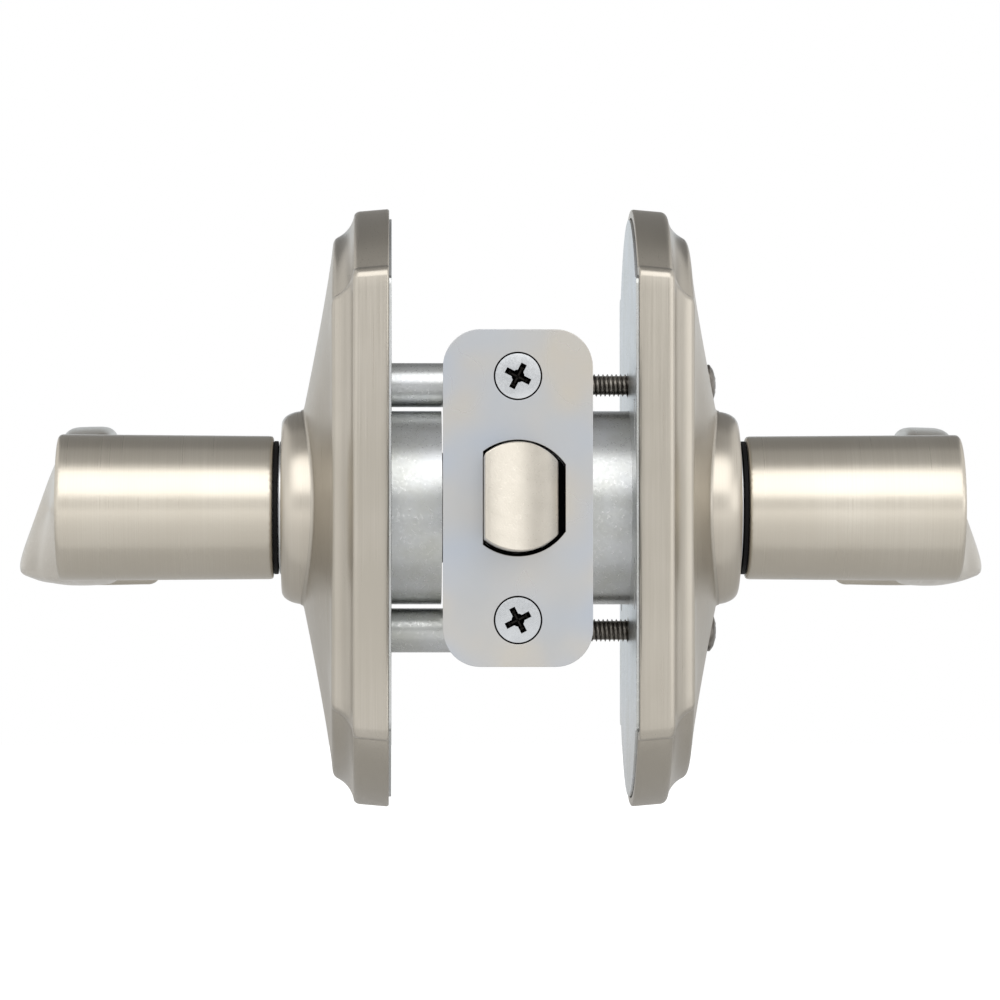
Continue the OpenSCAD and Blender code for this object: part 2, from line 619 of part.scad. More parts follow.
// The bevel is part of a large cylinder through the nose's edge and the bolt's far side
bevel_a = [bolt_left + nose_flat, nose_y];
bevel_b = [bolt_right, face_y - 1.5];
bevel_mid = (bevel_a + bevel_b) / 2;
bevel_way = unit(bevel_b - bevel_a);
bevel_mid_to_axis = sqrt(pow(bevel_r, 2) - pow(norm(bevel_b - bevel_a) / 2, 2));
bevel_axis = bevel_mid + bevel_mid_to_axis * [-bevel_way.y, bevel_way.x];
module latch_bolt() color(silver) difference() {
    intersection() {
        bar_y(nose_y, bolt_rear, bolt_r);
        block([bolt_left, nose_y - 1, -bolt_r - 1], [bolt_right, bolt_rear + 1, bolt_r + 1]);
        union() {
            translate([bevel_axis.x, bevel_axis.y, -bolt_r - 1])
                cylinder(h = 2 * bolt_r + 2, r = bevel_r, $fn = 180);
            block([bolt_left - 1, face_y + 1, -bolt_r - 1],
                [bolt_right + 1, bolt_rear + 1, bolt_r + 1]);
        }
    }
    bar_y(bolt_rear - spring_pocket, bolt_rear + 1, spring_r + 0.7);
}

// The hub's fingers lean back by half the travel at rest and push the tail's tabs.
// The tabs sit where that travel gives the bolt its throw.
tab_top = throw / (2 * tan(travel / 2)) + 0.2;
tab_low = tab_top - 1.2;
tab_start = -tab_low * tan(travel / 2) + 0.2;
tab_t = 1.6;
arm_in = finger_t / 2 + 0.6;
arm_out = arm_in + arm_t;
arm_low = hub_r + 0.5;
tail_top = sqrt(pow(barrel_in_r, 2) - pow(arm_out, 2)) - 0.2;
shoulder_y = -barrel_end + 0.3;
tail_rear = shoulder_y + 1.4;
tail_slot = tail_rear + throw - seat_front + 0.6;
module tail_side() slab_x(arm_in, arm_out) difference() {
    polygon([[bolt_rear, -tail_top], [shoulder_y, -tail_top], [shoulder_y, -tab_top],
        [tab_start + tab_t, -tab_top], [tab_start + tab_t, -arm_low], [tail_rear, -arm_low],
        [tail_rear, arm_low], [tab_start + tab_t, arm_low], [tab_start + tab_t, tab_top],
        [shoulder_y, tab_top], [shoulder_y, tail_top], [bolt_rear, tail_top]]);
    translate([tail_rear - tail_slot, -seat_h - 0.5]) square([tail_slot + 1, 2 * seat_h + 1]);
}
module bolt_tail() color(zinc) {
    tail_side();
    mirror([1, 0, 0]) tail_side();
    difference() {
        block([-arm_in, bolt_rear, -tail_top], [arm_in, bolt_rear + 1.4, tail_top]);
        bar_y(bolt_rear - 1, bolt_rear + 2, spring_r + 0.7);
    }
    for (s = [-1, 1]) block([-arm_in, tab_start, min(s * tab_low, s * tab_top)],
        [arm_in, tab_start + tab_t, max(s * tab_low, s * tab_top)]);
}
module bolt_spring() color(dark) rotate([0, 0, 90])
    coil_x(bolt_rear - spring_pocket + spring_wire / 2, seat_front - spring_wire / 2, spring_r,
        spring_wire / 2, spring_turns, 12, 5);

// ---------- retractor hub ----------

finger_len = tab_top / cos(travel / 2) + 0.1;
module finger() polygon([[0, 0], [0, finger_len], [-2.4, finger_len - 0.5], [-5.4, 5], [-5.4, 0]]);
module retractor_hub() color(steel) difference() {
    union() {
        bar_x(-cheek_in + 0.15, cheek_in - 0.15, hub_r);
        bar_x(-cheek_out - 0.8, cheek_out + 0.8, journal_r);
        for (m = [0, 1]) mirror([0, 0, m]) slab_x(-finger_t / 2, finger_t / 2) rotate(travel / 2) finger();
    }
    block([-cheek_out - 1, -square_hole / 2, -square_hole / 2],
        [cheek_out + 1, square_hole / 2, square_hole / 2]);
}

outside_rose();
inside_rose();
outside_collar();
inside_collar();
outside_sleeve();
inside_sleeve();
outside_washer();
inside_washer();
outside_lever();
inside_lever();
outside_drive_tube();
inside_drive_tube();
outside_snap_ring();
inside_snap_ring();
outside_mounting_plate();
inside_mounting_plate();
outside_spring_drum();
inside_spring_drum();
outside_drum_cover();
inside_drum_cover();
outside_return_spring();
inside_return_spring();
lever_set_screws();
spindle();
threaded_posts();
screw_spacers();
through_bolts();
latch_faceplate();
latch_backplate();
faceplate_screws();
latch_barrel();
latch_cheek_left();
latch_cheek_right();
case_rivets();
spring_seat();
latch_bolt();
bolt_tail();
bolt_spring();
retractor_hub();
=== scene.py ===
# %% [markdown]
# # A lever latch set in satin nickel
#
# This lesson dresses a door lever set whose working parts were made in CAD. Two levers turn one
# square spindle, the spindle's hub draws back a spring latch, and a notched rose covers the
# mechanism on each face of the door. The CAD solids arrive as a fixed frame in metres. We never
# move them: a piece whose shape is already right gets softer edges and a finish, and a piece that
# needs finer curves is built again round the same sizes.

# %% Load the frame
import json
import math

import bmesh
import bpy
import numpy as np
from mathutils import Matrix, Vector

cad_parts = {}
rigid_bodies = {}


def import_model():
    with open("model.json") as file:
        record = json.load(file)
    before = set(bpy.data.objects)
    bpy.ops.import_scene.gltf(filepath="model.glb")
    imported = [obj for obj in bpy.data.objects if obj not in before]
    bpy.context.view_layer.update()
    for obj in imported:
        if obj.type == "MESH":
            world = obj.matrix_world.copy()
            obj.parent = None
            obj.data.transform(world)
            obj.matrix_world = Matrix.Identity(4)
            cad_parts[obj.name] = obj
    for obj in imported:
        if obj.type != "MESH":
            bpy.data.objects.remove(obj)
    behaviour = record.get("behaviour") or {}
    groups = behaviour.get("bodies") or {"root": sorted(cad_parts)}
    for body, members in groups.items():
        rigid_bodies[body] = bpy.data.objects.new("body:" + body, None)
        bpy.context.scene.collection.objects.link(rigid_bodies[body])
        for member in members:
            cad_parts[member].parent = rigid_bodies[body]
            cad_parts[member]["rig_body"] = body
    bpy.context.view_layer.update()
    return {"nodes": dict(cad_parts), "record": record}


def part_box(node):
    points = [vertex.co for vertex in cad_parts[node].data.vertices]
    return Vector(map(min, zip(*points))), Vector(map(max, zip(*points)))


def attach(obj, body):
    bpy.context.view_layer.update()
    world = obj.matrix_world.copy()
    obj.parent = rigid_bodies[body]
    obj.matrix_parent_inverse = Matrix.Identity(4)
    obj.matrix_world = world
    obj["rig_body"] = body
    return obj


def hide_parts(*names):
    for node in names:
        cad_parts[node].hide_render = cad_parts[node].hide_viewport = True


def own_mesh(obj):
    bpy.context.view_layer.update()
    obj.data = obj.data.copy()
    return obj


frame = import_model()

MM = 0.001
nodes = frame["nodes"]
mounts = {m["name"]: m for m in frame["record"]["mounts"]}
print("nodes in the frame:", len(nodes))

# %% [markdown]
# ## Measures from the frame
#
# The door's faces, the roses' size and the levers' length all come from the frame, so the looks
# follow the CAD if it changes. Shapes are drawn in millimetres and turned to metres at the
# last step. Heights are counted from the door's face, because both sides of the set are the same
# seen that way.

# %% Measures
FACE = mounts["inside_door_face"]["pos_m"][0] / MM
OUTSIDE, INSIDE = -1, 1


def corners(name):
    """The lowest and highest corner of a CAD node, in millimetres."""
    low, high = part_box(name)
    return np.array(low) / MM, np.array(high) / MM


rose_low, rose_high = corners("inside_rose")
lever_low, lever_high = corners("inside_lever")
collar_low, collar_high = corners("inside_collar")
ROSE_W, ROSE_H = rose_high[1], rose_high[2]
RIM = rose_low[0] - FACE
COLLAR_TOP = collar_high[0] - FACE
NECK_FOOT = lever_low[0] - FACE
screw_low, screw_high = corners("faceplate_screws")
PLATE_Y, SCREW_LEN = screw_low[1], screw_high[1] - screw_low[1]
SCREW_HEAD_R = screw_high[0]
SCREW_Z = screw_high[2] - SCREW_HEAD_R
print(f"door face at {FACE:.1f} mm, rose {2 * ROSE_W:.1f} x {2 * ROSE_H:.1f} mm,",
      f"collar {COLLAR_TOP:.1f} mm high")

# %% [markdown]
# ## Small tools for meshes
#
# Nearly every piece here is turned, pressed or swept, so it can be described by rings of points
# that are joined by faces. One builder takes those rings, and one more line decides where its
# surface is smooth and where it has an edge: faces that meet at less than a given angle are shaded
# as one surface.

# %% Mesh tools
def finish_mesh(mesh, angle=32):
    """Faces outward, smooth except across edges sharper than angle."""
    work = bmesh.new()
    work.from_mesh(mesh)
    bmesh.ops.remove_doubles(work, verts=work.verts, dist=1e-6)
    bmesh.ops.recalc_face_normals(work, faces=work.faces)
    work.to_mesh(mesh)
    work.free()
    mesh.shade_smooth()
    mesh.set_sharp_from_angle(angle=math.radians(angle))


def in_scene(name, data):
    """A new object in the scene, at the origin."""
    new = bpy.data.objects.new(name, data)
    bpy.context.scene.collection.objects.link(new)
    return new


def make_object(name, points, faces, angle=32):
    """A mesh object from points in millimetres."""
    mesh = bpy.data.meshes.new(name)
    mesh.from_pydata([tuple(float(c) * MM for c in p) for p in points], [], faces)
    finish_mesh(mesh, angle)
    return in_scene(name, mesh)


def ring_faces(rings, count, looped=False):
    """Quads between neighbouring rings of count points each."""
    faces = []
    for k in range(rings if looped else rings - 1):
        a, b = k * count, (k + 1) % rings * count
        faces += [(a + i, a + (i + 1) % count, b + (i + 1) % count, b + i) for i in range(count)]
    return faces


def loft(name, rings, looped=False, angle=32):
    """A closed skin through rings of points: looped, or with a lid on each end."""
    count = len(rings[0])
    faces = ring_faces(len(rings), count, looped)
    if not looped:
        faces += [tuple(range(count)), tuple(range((len(rings) - 1) * count, len(rings) * count))]
    return make_object(name, [p for ring in rings for p in ring], faces, angle)


def filleted(points, steps=6):
    """A profile with its corners rounded: each point is (a, b, radius)."""
    result = []
    for k, (a, b, radius) in enumerate(points):
        corner = np.array([a, b], float)
        if radius == 0:
            result.append(corner)
            continue
        back = np.array(points[k - 1][:2], float) - corner
        ahead = np.array(points[(k + 1) % len(points)][:2], float) - corner
        back_len, ahead_len = np.linalg.norm(back), np.linalg.norm(ahead)
        back, ahead = back / back_len, ahead / ahead_len
        half = math.acos(max(-1.0, min(1.0, float(back @ ahead)))) / 2
        reach = min(radius / math.tan(half), 0.49 * back_len, 0.49 * ahead_len)
        start, end = corner + back * reach, corner + ahead * reach
        middle = corner + (back + ahead) / np.linalg.norm(back + ahead) * reach / math.cos(half)
        one, two = start - middle, end - middle
        over = np.array([-one[1], one[0]])
        swing = math.atan2(one[0] * two[1] - one[1] * two[0], float(one @ two))
        for t in (swing * i / steps for i in range(steps + 1)):
            result.append(middle + (one * math.cos(t) + over * math.sin(t)))
    return result


def on_side(side, points):
    """Takes points (height above the door, y, z) to one side of the door."""
    return [(side * (FACE + h), y, z) for h, y, z in points]


def turned(name, side, profile, count=144, angle=32):
    """A closed profile of (height above the door, radius), turned about the levers' axis."""
    rings = [on_side(side, [(h, r * math.cos(t), r * math.sin(t)) for h, r in profile])
             for t in (2 * math.pi * k / count for k in range(count))]
    return loft(name, rings, looped=True, angle=angle)


# %% Tools that change a finished shape
def evaluated(piece):
    """Applies the piece's modifiers to its mesh."""
    bpy.context.view_layer.update()
    graph = bpy.context.evaluated_depsgraph_get()
    mesh = bpy.data.meshes.new_from_object(piece.evaluated_get(graph))
    piece.modifiers.clear()
    piece.data = mesh
    return piece


def combine(piece, others, operation="DIFFERENCE"):
    """Cuts the others out of the piece, or joins them to it, and takes them away."""
    for other in others:
        change = piece.modifiers.new("combine", "BOOLEAN")
        change.operation, change.solver, change.object = operation, "EXACT", other
    evaluated(piece)
    for other in others:
        bpy.data.objects.remove(other)
    return piece


def rod(name, start, end, radius, end_radius=None, count=48):
    """A round bar or cone between two points, in millimetres."""
    start, end = np.array(start, float), np.array(end, float)
    way = (end - start) / np.linalg.norm(end - start)
    across = np.cross(way, [0.3, 0.5, 0.9])
    across /= np.linalg.norm(across)
    over = np.cross(way, across)
    rings = []
    for centre, r in ((start, radius), (end, radius if end_radius is None else end_radius)):
        rings.append([centre + r * (across * math.cos(t) + over * math.sin(t))
                      for t in np.linspace(0, 2 * math.pi, count, endpoint=False)])
    return loft(name, rings)


# %% [markdown]
# ## Joining the looks to the frame
#
# Each new piece stands for a CAD node: it rides on the same body, so it moves with it, and it takes
# the material it is given. Most hidden steel parts keep their CAD shape. A real stamping or
# turned part never has a knife edge, and it is the light on that small rounding that makes metal
# look solid, so their edges are broken by a bevel of one to three tenths of a millimetre.

# %% Standing for a node
BEVEL_FROM, SHARP_FROM = 38, 36


def stands_for(piece, name, material):
    """The piece takes the place of a CAD node and gets its material."""
    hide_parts(name)
    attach(piece, nodes[name]["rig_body"])
    piece.data.materials.clear()
    piece.data.materials.append(material)
    return piece


def softened(name, width, material, segments=2):
    """A copy of a CAD node with its edges broken by width millimetres."""
    mesh = nodes[name].data.copy()
    mesh.name = name + "_soft"
    if mesh.has_custom_normals:
        mesh.attributes.remove(mesh.attributes["custom_normal"])
    work = bmesh.new()
    work.from_mesh(mesh)
    bmesh.ops.remove_doubles(work, verts=work.verts, dist=2e-6)
    bmesh.ops.dissolve_limit(work, angle_limit=math.radians(0.5), verts=work.verts,
                             edges=work.edges)
    work.to_mesh(mesh)
    work.free()
    piece = in_scene(name + "_soft", mesh)
    bevel = piece.modifiers.new("edges", "BEVEL")
    bevel.width, bevel.segments, bevel.limit_method = width * MM, segments, "ANGLE"
    bevel.angle_limit, bevel.use_clamp_overlap = math.radians(BEVEL_FROM), True
    evaluated(piece)
    finish_mesh(piece.data, SHARP_FROM)
    weigh = piece.modifiers.new("flat", "WEIGHTED_NORMAL")
    weigh.keep_sharp, weigh.weight = True, 100
    evaluated(piece)
    return stands_for(piece, name, material)


# %% [markdown]
# ## Finishes
#
# ### One way to write a shader
#
# A shader is a handful of nodes and the links between them. `add` makes one node: its settings are
# attributes of the node, and each input is a plain value, another node's output, or that node
# itself, which stands for its first output. Colours are written as sRGB hex, the way a paint chart
# gives them, and one function turns them to the linear values that light is computed in.

# %% Shader tools
def linear(code):
    """An sRGB hex colour as linear RGBA."""
    parts = [int(code[i:i + 2], 16) / 255 for i in (1, 3, 5)]
    return tuple(c / 12.92 if c <= 0.04045 else ((c + 0.055) / 1.055) ** 2.4
                 for c in parts) + (1.0,)


def add(tree, kind, inputs=(), **settings):
    """Adds one node; inputs maps a socket's name or number to a value, an output or a node."""
    new = tree.nodes.new(kind)
    for key, value in settings.items():
        setattr(new, key, value)
    for key, value in dict(inputs).items():
        if isinstance(value, bpy.types.Node):
            value = value.outputs[0]
        if isinstance(value, bpy.types.NodeSocket):
            tree.links.new(value, new.inputs[key])
        else:
            new.inputs[key].default_value = value
    return new


def new_material(name):
    """An empty material and its node tree."""
    material = bpy.data.materials.new(name)
    material.use_nodes = True
    material.node_tree.nodes.clear()
    return material, material.node_tree


def pattern(tree, periods, detail=2.0, rough=0.5, offset=(0, 0, 0)):
    """Soft noise that repeats about every so many millimetres of the piece's X, Y and Z."""
    place = add(tree, "ShaderNodeTexCoord").outputs["Object"]
    scaled = add(tree, "ShaderNodeMapping", {"Vector": place, "Location": offset,
                                             "Scale": [1 / (p * MM) for p in periods]})
    return add(tree, "ShaderNodeTexNoise", {"Vector": scaled, "Scale": 1.0, "Detail": detail,
                                            "Roughness": rough}).outputs["Fac"]


def depth_of(tree):
    """How far along Y a point of the piece lies, in metres."""
    place = add(tree, "ShaderNodeTexCoord").outputs["Object"]
    return add(tree, "ShaderNodeSeparateXYZ", {0: place}).outputs["Y"]


def off_axis(tree, place):
    """How far a place is from the line along Y through the origin."""
    flat = add(tree, "ShaderNodeVectorMath", {0: place, 1: (1, 0, 1)}, operation="MULTIPLY")
    return add(tree, "ShaderNodeVectorMath", {0: flat}, operation="LENGTH").outputs["Value"]


def spread(tree, value, low, high):
    """Takes the middle of a noise's range to low..high."""
    return add(tree, "ShaderNodeMapRange", {
        "Value": value, "From Min": 0.3, "From Max": 0.7, "To Min": low, "To Max": high})


def shade_of(tree, value, dark, light):
    """A colour between two hex colours, by a noise."""
    return add(tree, "ShaderNodeMix", {
        "Factor": spread(tree, value, 0, 1), "A": linear(dark), "B": linear(light)},
        data_type="RGBA").outputs["Result"]


# %% [markdown]
# ### Satin nickel
#
# The roses, collars and levers are plated with nickel and then brushed with an abrasive belt or
# wheel. The belt leaves fine parallel scratches, so the metal looks soft and warm grey, and its
# highlights are drawn out across the scratches. Real scratches are a few hundredths of a millimetre
# wide. They are drawn here about a fifth of a millimetre apart, as coarse as they must be to show.
# The direction matters more than the depth: upright on the roses, round the necks, along the
# blades. Stretched noise gives the scratches for colour, roughness and a very slight bump.

# %% Satin nickel
PRESSED, TURNED = ("#aea89d", "#bbb5ab"), ("#bcb5a9", "#c9c3b8")
CAST = ("#c3bcaf", "#d0cabe")
SCRATCH, SCRATCH_DEPTH, STROKE, ALL_ROUND = 0.22, 0.03, 24.0, 60
UPRIGHT, AROUND = (SCRATCH, SCRATCH, STROKE), (SCRATCH, ALL_ROUND, ALL_ROUND)
CLOUD, LEVER_CLOUD, CLOUD_SHARE = 18, 22, 0.2
SMOOTHEST, ROUGHEST, DRAWN_OUT, ACROSS = 0.27, 0.39, 0.55, 0.25
ROUND_TO, ALONG_FROM = 12, 20


def nickel_shader(tree, scratches, clouds, tones, tangent_axis, turn):
    """Brushed nickel from a scratch pattern, with its highlight drawn out across the scratches."""
    tinge = add(tree, "ShaderNodeMath", {0: clouds, 1: CLOUD_SHARE}, operation="MULTIPLY")
    grain = add(tree, "ShaderNodeMath", {0: scratches, 1: clouds, 2: tinge},
                operation="MULTIPLY_ADD")
    bump = add(tree, "ShaderNodeBump", {"Height": spread(tree, scratches, 0, 1), "Strength": 0.06,
                                        "Distance": SCRATCH_DEPTH * MM})
    tangent = add(tree, "ShaderNodeTangent", direction_type="RADIAL", axis=tangent_axis)
    metal = add(tree, "ShaderNodeBsdfPrincipled", {
        "Base Color": shade_of(tree, grain, *tones), "Metallic": 1.0,
        "Roughness": spread(tree, scratches, SMOOTHEST, ROUGHEST), "Anisotropic": DRAWN_OUT,
        "Anisotropic Rotation": turn, "Tangent": tangent, "Normal": bump})
    add(tree, "ShaderNodeOutputMaterial", {0: metal})


def satin_nickel(name, periods, tones, tangent_axis="Z", turn=0.0):
    """Nickel brushed one way: the long period is along the scratches."""
    material, tree = new_material(name)
    nickel_shader(tree, pattern(tree, periods, 3.0, 0.6), pattern(tree, (CLOUD,) * 3), tones,
                  tangent_axis, turn)
    return material


def satin_nickel_lever():
    """Nickel brushed round the neck and, past it, along the blade."""
    material, tree = new_material("satin_nickel_lever")
    around = pattern(tree, AROUND, 3.0, 0.6)
    along = pattern(tree, (SCRATCH, STROKE, SCRATCH), 3.0, 0.6)
    beyond = add(tree, "ShaderNodeMapRange", {
        "Value": depth_of(tree), "From Min": ROUND_TO * MM, "From Max": ALONG_FROM * MM},
        interpolation_type="SMOOTHSTEP")
    both = add(tree, "ShaderNodeMix", {"Factor": beyond, "A": around, "B": along},
               data_type="FLOAT").outputs["Result"]
    nickel_shader(tree, both, pattern(tree, (LEVER_CLOUD,) * 3), CAST, "X", ACROSS)
    return material


nickel_upright = satin_nickel("satin_nickel_upright", UPRIGHT, PRESSED)
nickel_round = satin_nickel("satin_nickel_round", AROUND, TURNED, "X", ACROSS)
nickel_lever = satin_nickel_lever()
print("satin nickel in three directions of brushing")

# %% [markdown]
# ### Stainless latch plate
#
# The latch plate is punched from stainless sheet and tumbled, so its sheen is cooler and has no
# direction. Handling and the rolling of the sheet leave soft clouds a few millimetres across that
# are a little duller than the rest. The countersinks are coloured near black round the screw heads:
# painted shade for the gap there.

# %% Satin stainless steel
# Painted shade: the plate is coloured near black in a ring round each screw head, for the shaded
# gap in its countersink.
SINK_SHADE_R, SINK_SHADE_END_R = SCREW_HEAD_R + 0.25, SCREW_HEAD_R + 0.3


def around_screws(tree, inner, outer):
    """0 within inner millimetres of a plate screw's middle, 1 beyond outer."""
    place = add(tree, "ShaderNodeTexCoord").outputs["Object"]
    folded = add(tree, "ShaderNodeVectorMath", {0: place}, operation="ABSOLUTE")
    away = add(tree, "ShaderNodeVectorMath", {0: folded, 1: (0, 0, SCREW_Z * MM)},
               operation="SUBTRACT")
    return add(tree, "ShaderNodeMapRange", {
        "Value": off_axis(tree, away), "From Min": inner * MM, "From Max": outer * MM})


def satin_stainless():
    """Sheet with dull clouds, cool and warm tints, fine pits, and painted shade in the
    countersinks.
    """
    material, tree = new_material("satin_stainless_sheet")
    clouds = pattern(tree, (9, 9, 13), 2.0, 0.4)
    tints = pattern(tree, (14, 14, 11), 1.0, 0.5, (3, 5, 1))
    pits = pattern(tree, (0.35,) * 3)
    bump = add(tree, "ShaderNodeBump", {"Height": pits, "Strength": 0.06, "Distance": 0.04 * MM})
    tint = shade_of(tree, tints, "#aeb6c2", "#bfbab1")
    dulled = add(tree, "ShaderNodeMix", {
        "Factor": spread(tree, clouds, 0, 0.6), "A": tint, "B": linear("#a9adb2")},
        data_type="RGBA").outputs["Result"]
    # Painted shade in the countersinks: near black round the screw heads.
    colour = add(tree, "ShaderNodeMix", {
        "Factor": around_screws(tree, SINK_SHADE_R, SINK_SHADE_END_R), "A": linear("#141414"), "B": dulled},
        data_type="RGBA").outputs["Result"]
    metal = add(tree, "ShaderNodeBsdfPrincipled", {
        "Base Color": colour, "Metallic": 1.0, "Roughness": spread(tree, clouds, 0.26, 0.33),
        "Normal": bump})
    add(tree, "ShaderNodeOutputMaterial", {0: metal})
    return material


stainless = satin_stainless()
print("latch plate:", stainless.name)

# %% [markdown]
# ### The working parts' metals
#
# Behind the roses nothing is polished. Stampings are zinc plated and passivated, which leaves a
# bright grey with a faint yellow and blue bloom. The drive tubes and the hub are die-cast zinc:
# duller, with a fine grainy skin. Springs are drawn wire with an oiled dark grey surface, and the
# tail is phosphated. The bolt is nickel plated and tumbled, so it is warm like the levers but has
# no direction. The latch barrel's bore is coloured nearly black, painted shade for the dark inside
# of the latch, and the plate screws' cross recesses get painted shade too.

# %% Plated, cast and drawn metals
VARIES = 0.06
# dark and light tone, roughness, size of the patches, size of the grit, strength of the relief
ZINC = ("#bcbdb8", "#c9cbcd", 0.32, 9, 0.5, 0.15)


def plain_metal(name, dark, light, rough, patch, grit, relief):
    """A metal with patches of colour and a fine grit, both sized in millimetres."""
    material, tree = new_material(name)
    patches = pattern(tree, (patch,) * 3, 3.0, 0.6)
    grains = pattern(tree, (grit,) * 3)
    bump = add(tree, "ShaderNodeBump", {"Height": grains, "Strength": relief,
                                        "Distance": 0.06 * MM})
    metal = add(tree, "ShaderNodeBsdfPrincipled", {
        "Base Color": shade_of(tree, patches, dark, light), "Metallic": 1.0,
        "Roughness": spread(tree, grains, rough - VARIES, rough + VARIES), "Normal": bump})
    add(tree, "ShaderNodeOutputMaterial", {0: metal})
    return material


def with_painted_shade(material, dark, outside):
    """Paints shade on a metal: its colour turns dark where outside(tree) is 0."""
    tree = material.node_tree
    metal = next(n for n in tree.nodes if n.type == "BSDF_PRINCIPLED")
    colour = metal.inputs["Base Color"].links[0].from_socket
    painted_shade = add(tree, "ShaderNodeMix", {"Factor": outside(tree), "A": linear(dark), "B": colour},
               data_type="RGBA")
    tree.links.new(painted_shade.outputs["Result"], metal.inputs["Base Color"])
    return material


# %% Painted shade in the barrel and the screw recesses
# Painted shade inside the barrel's bore, between these radii and depths.
BORE_SHADE_R, BORE_SHADE_Y = (10.6, 10.9), (-31, -27)
# Painted shade in the screws' cross recesses, between these radii and depths.
RECESS_R, RECESS_Y = (2.7, 2.8), (PLATE_Y + 0.08, PLATE_Y + 0.3)


def outside_bore(tree):
    """0 inside the latch barrel, where shade is painted, 1 elsewhere."""
    distance = off_axis(tree, add(tree, "ShaderNodeTexCoord").outputs["Object"])
    out_r, out_y = (add(tree, "ShaderNodeMapRange", {
        "Value": value, "From Min": low * MM, "From Max": high * MM})
        for value, (low, high) in ((distance, BORE_SHADE_R), (depth_of(tree), BORE_SHADE_Y)))
    return add(tree, "ShaderNodeMath", {0: out_r, 1: out_y}, operation="MAXIMUM")


def outside_recess(tree):
    """0 in the cross recess of a plate screw, where shade is painted, 1 elsewhere."""
    shallow = add(tree, "ShaderNodeMapRange", {
        "Value": depth_of(tree), "From Min": RECESS_Y[0] * MM, "From Max": RECESS_Y[1] * MM,
        "To Min": 1.0, "To Max": 0.0})
    return add(tree, "ShaderNodeMath", {0: shallow, 1: around_screws(tree, *RECESS_R)},
               operation="MAXIMUM")


# %% The metals
zinc_plate = plain_metal("zinc_plated_steel", *ZINC)
# The latch case's zinc with painted shade: nearly black inside the barrel's bore.
bore_shaded_zinc = with_painted_shade(plain_metal("zinc_plate_painted_bore_shade", *ZINC), "#0c0b0a", outside_bore)
cast_zinc = plain_metal("die_cast_zinc", "#8f9092", "#a9aaab", 0.45, 4, 0.35, 0.35)
spring_wire = plain_metal("oiled_spring_wire", "#3c3a38", "#5a5855", 0.34, 3, 0.3, 0.15)
phosphated = plain_metal("phosphated_steel", "#343230", "#4a4744", 0.42, 3, 0.35, 0.2)
bolt_nickel = plain_metal("tumbled_nickel_plate", "#c1bbb0", "#cac4b9", 0.33, 4, 0.35, 0.35)
screw_steel = plain_metal("plated_screw_steel", "#b4b7ba", "#c2c4c6", 0.27, 5, 0.4, 0.1)
# Painted shade: the plate screws' cross recesses are coloured dark.
with_painted_shade(screw_steel, "#242220", outside_recess)
dark_screw = plain_metal("darkened_screw_steel", "#5e5a55", "#8f8a83", 0.34, 1.6, 0.4, 0.25)
print("metals:", len(bpy.data.materials))

# %% [markdown]
# ### Nylon
#
# A moulded nylon washer fills the gap behind each lever, and the bolt slides on a nylon ring. It is
# black, slightly waxy, and has the fine dull skin of a moulding tool that was spark eroded.

# %% Moulded nylon
def moulded_nylon():
    """Black nylon with a spark-eroded grain of 0.3 mm."""
    material, tree = new_material("moulded_black_nylon")
    grains, clouds = pattern(tree, (0.3,) * 3), pattern(tree, (3,) * 3)
    bump = add(tree, "ShaderNodeBump", {"Height": grains, "Strength": 0.2, "Distance": 0.05 * MM})
    skin = add(tree, "ShaderNodeBsdfPrincipled", {
        "Base Color": shade_of(tree, clouds, "#060607", "#0d0d0e"), "IOR": 1.5,
        "Specular IOR Level": 0.2, "Roughness": spread(tree, grains, 0.55, 0.7),
        "Normal": bump})
    add(tree, "ShaderNodeOutputMaterial", {0: skin})
    return material


nylon = moulded_nylon()
print("materials:", len(bpy.data.materials))

# %% [markdown]
# ## The roses
#
# Each rose is one sheet of metal pressed over a die: a band that narrows a little so that the die
# lets go, a rounded lip, a shallow cove, and a face that climbs to the collar. Its outline is a
# rectangle whose ends are arched between two small notches. We draw that outline once, and again at
# every inset of the profile, and loft the rings. The face climbs in a scoop that is more hollow at
# the sides than at the ends. Its height follows an evened outline, so the notches leave no crease
# in it.

# %% Outline of the rose
NOTCH, CORNER, INNER = 5.5, 2.0, 0.6
ARCH_SLOPE = math.radians(47)
SIDE_STEPS, ARCH_STEPS, CORNER_STEPS = 18, 32, 8
ARCH = (ROSE_W - NOTCH) / math.sin(ARCH_SLOPE)
ARCH_MID = ROSE_H - ARCH
NOTCH_H = ARCH * (1 - math.cos(ARCH_SLOPE))
print(f"rose ends arched to {ARCH:.1f} mm, {NOTCH_H:.1f} mm above the notches")


def arc(centre, radius, start, end, steps):
    """Points of an arc, with its angles in degrees."""
    turns = [math.radians(start + (end - start) * i / steps) for i in range(steps + 1)]
    return [(centre[0] + radius * math.cos(t), centre[1] + radius * math.sin(t)) for t in turns]


